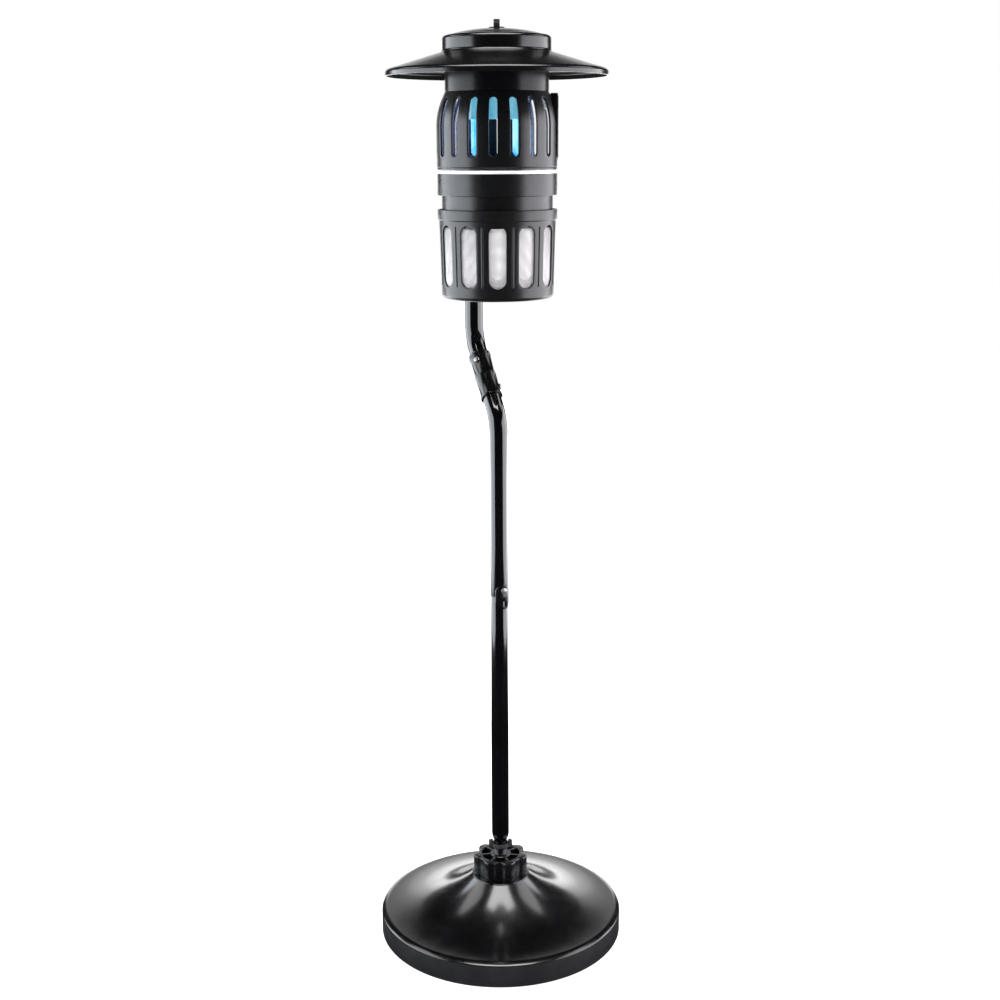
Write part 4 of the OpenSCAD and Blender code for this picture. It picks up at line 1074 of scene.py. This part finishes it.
@dataclass
class Head:
    """The fan housing, its band and bright ring, the fan and everything that stays with the mast."""

    band: float = 70.2 * MM
    neck: float = 65.3 * MM
    duct: float = 58.5 * MM
    low: float = level("fan_housing", 0)
    band_low: float = 941 * MM
    spigot_out: float = 65.9 * MM
    spigot_in: float = 62.5 * MM
    seat: float = 65.97 * MM
    ring_out: float = 71.6 * MM
    ring_foot: float = 69.3 * MM
    cage_out: float = 70.3 * MM
    cage_top: float = 60.35 * MM
    shoulder: float = 1020 * MM
    painted_glow_from: float = 30 * MM
    channel_turn: float = 86.3
    gland_turn: float = 150.0
    gland_height: float = 953 * MM
    band_high: float = level("trim_ring", 0)

    def housing(self) -> None:
        """Builds the neck, the band and the spigot, with the three lugs."""
        bm = bmesh.new()
        top = self.band_high
        spun(bm, eased([(self.duct, self.low, 0.5 * MM), (self.neck, self.low, 0.6 * MM),
                        (self.neck, self.band_low, 0), (self.band, self.band_low, 0.9 * MM),
                        (self.band, top, 0.4 * MM), (self.spigot_out, top, 0),
                        (self.spigot_out, top + 8 * MM, 0.4 * MM), (self.spigot_in, top + 8 * MM, 0.4 * MM),
                        (self.spigot_in, top, 0), (self.duct, top, 0.5 * MM)], 4), 192)
        for turn in (15, 135, 255):
            lug = moved(0, -self.neck - 0.4 * MM, self.low + 5.5 * MM)
            block(bm, (13.2 * MM, 2.2 * MM, 3 * MM), (0, 0, 0), 0.4 * MM, turned(turn) @ lug)
        settle(bm, "housing_band", "mast", Finish.HOUSING, ["fan_housing"])

    def trim(self) -> None:
        """Builds the bright ring on the band."""
        low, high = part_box("trim_ring")
        out = min(reach("trim_ring"), self.ring_out)
        under, over = low.z + 1.4 * MM, high.z - 0.8 * MM
        root = self.ring_foot + 0.2 * MM
        bm = bmesh.new()
        spun(bm, eased([(self.seat, low.z, 0), (self.ring_foot, low.z, 0), (root, under, 0.2 * MM),
                        (out, under, 0.7 * MM), (out, over, 0.7 * MM), (root, over, 0.2 * MM),
                        (self.ring_foot, high.z, 0), (self.seat, high.z, 0)], 6), 192)
        settle(bm, "bright_ring", "mast", Finish.TRIM, ["trim_ring"])

    def funnel(self) -> None:
        """Builds the curved intake funnel inside the lamp cage."""
        bm = bmesh.new()
        z = self.band_high
        spun(bm, eased([(self.duct + 0.1 * MM, z + 0.05 * MM, 0), (62.3 * MM, z + 0.05 * MM, 0.3 * MM),
                        (62.3 * MM, z + 1.8 * MM, 0.8 * MM), (61.2 * MM, z + 4 * MM, 1.5 * MM),
                        (62.2 * MM, z + 8.5 * MM, 3 * MM), (67.3 * MM, z + 17.5 * MM, 0.5 * MM),
                        (67.3 * MM, z + 18.6 * MM, 0.3 * MM), (66.2 * MM, z + 18.6 * MM, 0.3 * MM),
                        (60.6 * MM, z + 9 * MM, 4 * MM), (59.3 * MM, z + 4 * MM, 2 * MM),
                        (self.duct + 0.1 * MM, z + MM, 0.3 * MM)], 4), 128)
        settle(bm, "intake_throat", "mast", Finish.SATIN, ["intake_funnel"])

    def cage(self) -> None:
        """Builds the slotted lamp cage, its foot ring and its seat ring, with painted glow on its inner wall
        away from the middle.
        """
        low, high = (corner.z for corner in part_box("lamp_cage"))
        bead = low + 2.6 * MM

        def radius_at(z: float) -> float:
            """Returns the cage's outer radius at a height."""
            if abs(z - bead) < 1e-5:
                return self.cage_out - 0.45 * MM
            if z < self.shoulder:
                return self.cage_out
            rise = (z - self.shoulder) / (high - self.shoulder)
            return self.cage_out - (self.cage_out - self.cage_top) * rise ** 1.85

        wall = SlottedWall(slots=18, slot_width=9.9 * MM, slot_low=985 * MM, slot_high=1051 * MM,
                           cell_low=979 * MM, cell_high=1055.4 * MM, reference=self.cage_out,
                           thickness=2.6 * MM, phase=-3.7,
                           rows_below=[bead + 0.6 * MM, bead, bead - 0.6 * MM, low + 0.05 * MM],
                           rows_above=[1056.6 * MM, high - 0.05 * MM], side_cuts=15)
        bm = wall.build(radius_at)
        # Inward faces away from the middle get the blue glow material: painted light from the lamps on the
        # cage's inner wall.
        for face in bm.faces:
            off_middle = abs(face.calc_center_median().x) > self.painted_glow_from
            face.material_index = int(looks_in(face) and off_middle)
        hoop(bm, self.seat, 69 * MM, low + 0.02 * MM, low + 3.4 * MM)
        hoop(bm, 57.1 * MM, 59.6 * MM, high - 4 * MM, high - 0.2 * MM)
        settle(bm, "slotted_lamp_cage", "mast", Finish.HOUSING, ["lamp_cage"], SHARP,
               (Finish.CAGE_INSIDE,))

    def channel(self) -> None:
        """Builds the upright channel that hides the leads."""
        low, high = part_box("wire_channel")
        bm = bmesh.new()
        place = turned(self.channel_turn)
        length, middle = high.z - low.z, (high.z + low.z) / 2
        block(bm, (14.2 * MM, 8.5 * MM, length), (0, -66.25 * MM, middle), 0.9 * MM, place)
        for side in (-1, 1):
            block(bm, (0.8 * MM, 1.2 * MM, length - 6 * MM), (side * 3.2 * MM, -70.4 * MM, middle), 0.3 * MM,
                  place)
        settle(bm, "lead_channel", "mast", Finish.HOUSING, ["wire_channel"])

    def gland(self) -> None:
        """Builds the ribbed rubber cord inlet."""
        bm = bmesh.new()
        place = turned(self.gland_turn) @ moved(0, 0, self.gland_height) @ turned(90, "X")
        out = self.band
        ribs = []
        for i in range(3):
            start = out + (5.5 + 2.8 * i) * MM
            ribs += [(5.5 * MM, start, 0.2 * MM), (4.7 * MM, start + 0.1 * MM, 0.2 * MM),
                     (4.7 * MM, start + 1.1 * MM, 0.2 * MM), (5.5 * MM, start + 1.2 * MM, 0.2 * MM)]
        spun(bm, eased([(3.5 * MM, self.duct + MM, 0), (5 * MM, self.duct + MM, 0),
                        (5 * MM, out - 0.2 * MM, 0), (7.5 * MM, out - 0.2 * MM, 0),
                        (7.5 * MM, out + 4 * MM, 0.6 * MM), (5.5 * MM, out + 4 * MM, 0), *ribs,
                        (5.5 * MM, out + 14 * MM, 0.4 * MM), (3.5 * MM, out + 14 * MM, 0.4 * MM)]), 40)
        bmesh.ops.transform(bm, matrix=place, verts=bm.verts)
        settle(bm, "cord_inlet_gland", "mast", Finish.GLAND, ["cord_gland"])

    def build(self) -> None:
        """Builds the head's fixed pieces."""
        self.housing()
        self.trim()
        self.funnel()
        self.cage()
        self.channel()
        self.gland()
        eased_copy("fan_guard", "mast", Finish.SATIN, 0.25 * MM)
        eased_copy("motor_spider", "mast", Finish.SATIN, 0.4 * MM)
        eased_copy("contact_socket", "mast", Finish.WHITE, 0.4 * MM)
        eased_copy("fan_rotor", "rotor", Finish.ROTOR, 0.25 * MM)
        dressed({"cage_screws": Finish.SCREW, "inner_wires": Finish.WIRE, "fan_motor": Finish.MOTOR,
                 "motor_shaft": Finish.BUTTON})


# ---------------------------------------------------------------- the basket


@dataclass
class Basket:
    """The slotted catch basket with its fine wire mesh."""

    low: float = level("basket_cage", 0)
    high: float = level("basket_cage", 1)
    bottom: float = 66.6 * MM
    top: float = 68.9 * MM
    rim: float = 70.5 * MM
    rim_low: float = 913 * MM
    round_off: float = 5 * MM
    wall: float = 2.2 * MM
    mesh_wires: int = 300
    mesh_rings: int = 60
    wire: float = 0.5 * MM
    floor_step: float = 2.2 * MM
    floor_edge: float = 59.6 * MM
    flute_low: float = 838 * MM

    def radius_at(self, z: float) -> float:
        """Returns the outer radius at a height: rounded foot, tapered wall, upright rim."""
        if z >= self.rim_low:
            return self.rim
        taper = self.bottom + (self.top - self.bottom) * (z - self.low) / (self.rim_low - self.low)
        if z >= self.low + self.round_off:
            return taper
        rest = (self.low + self.round_off - z) / self.round_off
        return taper - self.round_off * (1 - math.sqrt(max(0.0, 1 - rest ** 2)))

    def cage(self) -> None:
        """Builds the slotted wall with its flutes, its rounded foot, the rim and the three ledges."""
        foot = [self.low + self.round_off * (1 - math.sin(math.radians(a))) for a in (20, 40, 58, 74, 88)]
        rim = [911 * MM, 912.2 * MM, 913 * MM, 913.6 * MM, 924.4 * MM, self.high - 0.05 * MM]
        wall = SlottedWall(slots=12, slot_width=20.8 * MM, slot_low=837 * MM, slot_high=908 * MM,
                           cell_low=833.5 * MM, cell_high=909.6 * MM, reference=67.9 * MM,
                           thickness=self.wall, phase=0.0, rows_below=[831 * MM, 827 * MM, *foot],
                           rows_above=rim, side_cuts=9)
        bm = wall.build(self.radius_at)
        lean = math.atan((self.top - self.bottom) / (self.rim_low - self.low))
        start = moved(0, -self.radius_at(self.flute_low) + 0.7 * MM, self.flute_low)
        flute = start @ Matrix.Rotation(lean, 4, "X")
        for i in range(12):
            pin(bm, 1.6 * MM, 69 * MM, turned(15 + 30 * i) @ flute, 0.8 * MM, 20)
        for turn in (40, 160, 280):
            block(bm, (14 * MM, 2 * MM, 4 * MM), (0, -66.5 * MM, 917 * MM), 0.4 * MM, turned(turn))
        settle(bm, "slotted_basket", "basket", Finish.BASKET, ["basket_cage"])

    def floor(self) -> None:
        """Builds the floor grille: an outer ring, a middle disc and the eight webs between the windows."""
        bm = bmesh.new()
        inset = 0.12 * MM
        inside, edge, thickness = 51.8 * MM, 60.9 * MM, 2.4 * MM
        high = self.low + thickness
        spun(bm, eased([(inside, self.low, 0.3 * MM), (edge, self.low, 0.4 * MM), (edge, high, 0),
                        (inside, high, 0.3 * MM)]), 128)
        pin(bm, 18.6 * MM, thickness, moved(0, 0, self.low), 0.3 * MM, 64)
        half = math.radians(22.5)
        for i in range(8):
            web = bmesh.new()
            bmesh.ops.create_grid(web, x_segments=6, y_segments=1, size=1.0)
            for v in web.verts:
                along = 17 * MM + (v.co.x + 1) / 2 * 35.6 * MM
                v.co = (along, v.co.y * (along * math.tan(half) - 4 * MM / math.cos(half)), 0)
            raised(web, Vector((0, 0, thickness - 2 * inset)))
            joined(bm, web, turned(22.5 + 45 * i) @ moved(0, 0, self.low + inset))
        settle(bm, "basket_floor_grille", "basket", Finish.BASKET, ["basket_floor"])

    def wire_mesh(self) -> None:
        """Builds the upright wires and the rings of the basket's mesh."""
        low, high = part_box("basket_mesh")
        size = self.wire
        bm = bmesh.new()
        lean = (self.top - self.bottom) / (self.rim_low - self.low)
        start = self.radius_at(low.z) - self.wall - 0.4 * MM
        wire = bmesh.new()
        bmesh.ops.create_circle(wire, cap_ends=True, segments=4, radius=size / 2)
        run = high.z - low.z
        raised(wire, Vector((0, -run * lean, run)))
        for i in range(self.mesh_wires):
            joined(bm, wire.copy(), turned(i * 360 / self.mesh_wires) @ moved(0, -start, low.z))
        wire.free()
        for i in range(self.mesh_rings + 1):
            z = low.z + size / 2 + (run - size) * i / self.mesh_rings
            radius = start + (z - low.z) * lean
            spun(bm, [(radius + size / 2, z), (radius, z + size / 2), (radius - size / 2, z),
                      (radius, z - size / 2)], 144)
        settle(bm, "basket_wire_mesh", "basket", Finish.MESH, ["basket_mesh"], WIRE_SHARP)

    def floor_mesh(self) -> None:
        """Builds the crossed wires of the floor's mesh, cut round at its edge."""
        low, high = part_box("floor_mesh")
        middle = (low.z + high.z) / 2
        size = (high.z - low.z) * 0.45
        edge = self.floor_edge
        bm = bmesh.new()
        step = self.floor_step
        count = int(edge / step)
        for i in range(-count, count + 1):
            half = math.sqrt(edge ** 2 - (i * step) ** 2)
            for turn, lift in ((0, -size / 2), (90, size / 2)):
                block(bm, (2 * half, size, size), (0, i * step, middle + lift), 0.05 * MM, turned(turn))
        hoop(bm, edge - MM, edge, low.z + 0.02 * MM, high.z - 0.02 * MM)
        settle(bm, "floor_wire_mesh", "basket", Finish.MESH, ["floor_mesh"], WIRE_SHARP)

    def build(self) -> None:
        """Builds the basket's pieces."""
        self.cage()
        self.floor()
        self.wire_mesh()
        self.floor_mesh()


# ---------------------------------------------------------------- the hood


@dataclass
class Hood:
    """The lift-off hood: collar, roof, cap and hanging eye, with the lamps below."""

    collar: float = 60.35 * MM
    roof: float = field(default_factory=lambda: reach("roof_brim"))
    cap: float = field(default_factory=lambda: reach("hood_cap"))
    seat: float = 1057.5 * MM
    collar_top: float = 1100 * MM
    roof_top: float = 1102 * MM
    roof_bore: float = 44 * MM
    lip_low: float = 1075 * MM
    lip_inside_top: float = 1080.2 * MM
    lip_turn: float = 1083 * MM
    cap_side: float = 1116 * MM
    spigot: Point = (54.05 * MM, 56.9 * MM)
    lamp_radius: float = 6 * MM
    lamp_gap: float = 8 * MM
    lamp_top: float = 1030 * MM
    lamp_off: float = 24 * MM
    collar_in: float = 57.95 * MM

    def collar_ring(self) -> None:
        """Builds the upright collar with its ceiling and the spigot under it."""
        bm = bmesh.new()
        low = self.seat
        foot, spigot_low, ceiling = low + 0.02 * MM, low - 6 * MM, low + 2.5 * MM
        inner, outer = self.spigot
        spun(bm, eased([(0.0, foot, 0), (inner, foot, 0), (inner, spigot_low, 0.4 * MM),
                        (outer, spigot_low, 0.4 * MM), (outer, foot, 0), (self.collar, foot, 0.7 * MM),
                        (self.collar, self.collar_top, 0.3 * MM), (self.collar_in, self.collar_top, 0.3 * MM),
                        (self.collar_in, ceiling, 0), (0.0, ceiling, 0)], 4), 160)
        for turn in (30, 150, 270):
            for along, radius, top in ((50, 4, self.collar_top), (36, 3, 1073.9 * MM)):
                place = turned(turn) @ moved(along * MM, 0, low + MM)
                pin(bm, radius * MM, top - low - MM, place, 0.3 * MM, 24)
        settle(bm, "hood_collar_ring", "hood", Finish.COLLAR, ["hood_collar"])

    def brim(self) -> None:
        """Builds the roof brim with its turned-down lip, whose inward faces carry painted shade."""
        bm = bmesh.new()
        out, top = self.roof, self.roof_top
        under = self.collar_top + 0.05 * MM
        slope = (top - self.lip_turn) / (out - 3 * MM - self.cap)
        weld = [(r, z, 0) for r, z in arc((self.cap + 3.6 * MM, top + 2.6 * MM), 3.5 * MM, 262, 180, 6)]
        spun(bm, eased([(self.roof_bore, under, 0), (self.cap - MM, under, 2 * MM),
                        (out - 4 * MM, top - slope * (out - 4 * MM - self.cap) - 2 * MM, 1.5 * MM),
                        (out - 2 * MM, 1079.6 * MM, 0.6 * MM), (out - 2 * MM, self.lip_low, 0.3 * MM),
                        (out, self.lip_low, 0.5 * MM), (out, 1080.6 * MM, 2.2 * MM),
                        (out - 3 * MM, self.lip_turn, 1.6 * MM), *weld, (self.cap + 0.1 * MM, top, 0),
                        (self.roof_bore, top, 0)], 5), 192)
        # The lip's inward faces get the darker, duller material: painted shade inside the lip.
        for face in bm.faces:
            on_lip = face.calc_center_median().z < self.lip_inside_top
            face.material_index = int(on_lip and looks_in(face))
        settle(bm, "roof_disc", "hood", Finish.ROOF, ["roof_brim"], ROOF_SHARP,
               (Finish.LIP_INSIDE,))

    def cap_dome(self) -> None:
        """Builds the round cap on the roof: an upright side, a tight shoulder and a low dome."""
        bm = bmesh.new()
        low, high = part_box("hood_cap")
        side, ease = self.cap_side, 5 * MM
        rise = high.z - side - ease + MM
        flat = self.cap - ease
        dome_radius = (flat ** 2 + rise ** 2) / (2 * rise)
        shoulder = [(flat + ease * math.cos(a), side + (ease - MM) * math.sin(a))
                    for a in (math.radians(10 * i) for i in range(9))]
        dome = [(r, high.z - dome_radius + math.sqrt(dome_radius ** 2 - r ** 2))
                for r in (flat * (1 - i / 16) for i in range(16))]
        inner = [(r - 1.4 * MM, z - 2 * MM) for r, z in dome[12::-4]]
        spun(bm, [(0.0, high.z - 2 * MM), *inner, (self.cap - 2 * MM, side - MM), (self.cap - 2 * MM, low.z),
                  (self.cap - 0.3 * MM, low.z), (self.cap, low.z + 0.3 * MM), *shoulder, *dome,
                  (0.0, high.z)], 160)
        settle(bm, "round_cap", "hood", Finish.ROOF, ["hood_cap"], ROOF_SHARP)

    def lamp(self, side: int) -> None:
        """Builds one compact lamp: two limbs joined by a bend below, in a moulded cap that carries painted glow.

        Args:
            side: -1 for the left lamp, 1 for the right one.
        """
        name = "lamp_right" if side > 0 else "lamp_left"
        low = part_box(name)[0].z
        radius, gap, top = self.lamp_radius, self.lamp_gap, self.lamp_top
        bend = low + radius + gap
        bm = bmesh.new()
        bmesh.ops.create_circle(bm, cap_ends=True, segments=32, radius=radius)
        bmesh.ops.translate(bm, vec=(0, -gap, top), verts=bm.verts)
        ring = pushed(bm, bm.edges[:], Vector((0, 0, bend - top)))
        ring = bent(bm, ring, (0, 0, bend), (1, 0, 0), math.pi, 24)
        ring = pushed(bm, ring, Vector((0, 0, top - bend)))
        bmesh.ops.contextual_create(bm, geom=ring)
        bmesh.ops.recalc_face_normals(bm, faces=bm.faces)
        tube_faces = len(bm.faces)
        block(bm, (14.8 * MM, 28.8 * MM, 15.9 * MM), (0, 0, 1037 * MM), 1.2 * MM)
        for rib in (-1, 1):
            block(bm, (15.0 * MM, 2 * MM, 9 * MM), (0, rib * 5 * MM, 1035 * MM), 0.4 * MM)
        bmesh.ops.translate(bm, vec=(side * self.lamp_off, 0, 0), verts=bm.verts)
        bm.faces.ensure_lookup_table()
        # The cap and its ribs get the holder's cyan glow: painted light, since the cap is no lamp.
        for face in bm.faces[tube_faces:]:
            face.material_index = 1
        settle(bm, name + "_tubes", "hood", Finish.LAMP, [name], SHARP, (Finish.HOLDER,))

    def build(self) -> None:
        """Builds the hood's pieces."""
        self.collar_ring()
        self.brim()
        self.cap_dome()
        for side in (-1, 1):
            self.lamp(side)
        # The lamp holder gets the cyan glow: painted light from the lamps on a part that is no lamp.
        eased_copy("lamp_holder", "hood", Finish.HOLDER, 0.8 * MM)
        eased_copy("hanger_eye", "hood", Finish.EYE, 0.8 * MM)
        dressed({"driver_board": Finish.BOARD, "driver_parts": Finish.PARTS, "contact_blades": Finish.BRASS,
                 "hood_screws": Finish.SCREW})


# ---------------------------------------------------------------- the studio


@dataclass(frozen=True)
class Panel:
    """One soft light panel."""

    name: str
    place: Triple
    aim: Triple
    size: tuple[float, float]
    radiance: float
    tint: Triple = (1.0, 1.0, 1.0)

    def build(self) -> None:
        """Adds the panel, turned to what it is aimed at."""
        light = bpy.data.lights.new(self.name, "AREA")
        light.shape = "RECTANGLE"
        light.size, light.size_y = self.size
        light.color = self.tint
        light.energy = self.radiance * math.pi * self.size[0] * self.size[1]
        obj = bpy.data.objects.new(self.name, light)
        obj.location = self.place
        obj.rotation_euler = (Vector(self.aim) - Vector(self.place)).to_track_quat("-Z", "Y").to_euler()
        obj.visible_camera = False
        bpy.context.scene.collection.objects.link(obj)


@dataclass
class Studio:
    """A pale floor, soft panels at both sides and above, a pale surround and the camera."""

    lens: float = 53.83
    place: Triple = (0.0014, -1.787, 0.996)
    pitch: float = 76.71
    roll: float = -0.26
    panels: tuple[Panel, ...] = (
        Panel("left_panel", (-1.5, 0.05, 0.72), (0.0, 0.05, 0.72), (2.5, 1.44), 5.0, (0.88, 0.94, 1.0)),
        Panel("right_panel", (1.5, 0.05, 0.72), (0.0, 0.05, 0.72), (2.5, 1.44), 4.8, (0.96, 0.94, 1.0)),
        Panel("floor_card", (0.0, 2.5, 0.005), (0.0, 2.52, 1.0), (5.2, 3.8), 2.8),
        Panel("back_foot_card", (0.0, 4.5, 0.25), (0.0, 0.0, 0.25), (5.2, 0.5), 3.0),
        Panel("back_low_card", (0.0, 4.5, 0.8), (0.0, 0.0, 0.8), (3.5, 0.6), 2.8),
        Panel("back_middle_card", (0.0, 4.5, 1.5), (0.0, 0.0, 1.5), (3.5, 0.8), 1.8),
        Panel("back_high_card", (0.0, 4.5, 2.25), (0.0, 0.0, 2.25), (3.5, 0.7), 0.9),
        Panel("back_top_card", (0.0, 4.5, 2.9), (0.0, 0.0, 2.9), (3.5, 0.6), 0.2),
        Panel("top_panel", (0.0, -0.42, 2.0), (0.0, -0.42, 0.0), (1.15, 0.85), 9.0),
        Panel("top_left_panel", (-1.55, 0.5, 2.0), (-1.55, 0.5, 0.0), (1.0, 1.0), 3.0),
        Panel("top_right_panel", (1.55, 0.5, 2.0), (1.55, 0.5, 0.0), (1.0, 1.0), 3.0),
    )

    def surround(self) -> None:
        """Makes the surround: pale where it is looked at, dim for what lights the object."""
        world = bpy.data.worlds.new("surround")
        bpy.context.scene.world = world
        world.use_nodes = True
        tree = world.node_tree
        tree.nodes.clear()
        out = tree.nodes.new("ShaderNodeOutputWorld")
        path = tree.nodes.new("ShaderNodeLightPath")
        mix = tree.nodes.new("ShaderNodeMixShader")
        dim = tree.nodes.new("ShaderNodeBackground")
        pale = tree.nodes.new("ShaderNodeBackground")
        dim.inputs["Color"].default_value = (0.02, 0.02, 0.022, 1)
        pale.inputs["Color"].default_value = (1, 1, 1, 1)
        tree.links.new(path.outputs["Is Camera Ray"], mix.inputs["Fac"])
        tree.links.new(dim.outputs[0], mix.inputs[1])
        tree.links.new(pale.outputs[0], mix.inputs[2])
        tree.links.new(mix.outputs[0], out.inputs["Surface"])

    def floor(self) -> None:
        """Lays the pale floor."""
        mesh = bpy.data.meshes.new("studio_floor")
        bm = bmesh.new()
        bmesh.ops.create_circle(bm, cap_ends=True, segments=96, radius=6.0)
        bm.to_mesh(mesh)
        bm.free()
        obj = bpy.data.objects.new("studio_floor", mesh)
        bpy.context.scene.collection.objects.link(obj)
        g = Graph("floor_paper")
        surface = g.add("BsdfPrincipled", Roughness=0.9, Emission_Strength=1.0, Emission_Color=(1, 1, 1, 1),
                        Base_Color=(0.9, 0.9, 0.9, 1))
        mesh.materials.append(g.done(surface))
        obj.visible_glossy = False

    def camera(self) -> None:
        """Sets up the camera at its viewing angle."""
        data = bpy.data.cameras.new("camera")
        data.lens = self.lens
        data.sensor_width = 36.0
        data.clip_start = 0.05
        obj = bpy.data.objects.new("camera", data)
        obj.location = self.place
        obj.rotation_euler = (turned(self.pitch, "X") @ turned(self.roll)).to_euler()
        bpy.context.scene.collection.objects.link(obj)
        bpy.context.scene.camera = obj

    def build(self) -> None:
        """Builds the floor, the light and the camera."""
        bpy.context.scene.view_settings.view_transform = "Standard"
        self.surround()
        self.floor()
        self.camera()
        for panel in self.panels:
            panel.build()


def main() -> None:
    """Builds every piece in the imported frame, then the studio."""
    logging.basicConfig(level=logging.INFO, format="%(message)s")
    for part in (Foot(), LockKnob(), Mast(), Head(), Basket(), Hood(), Studio()):
        part.build()


if __name__ == "__main__":
    main()
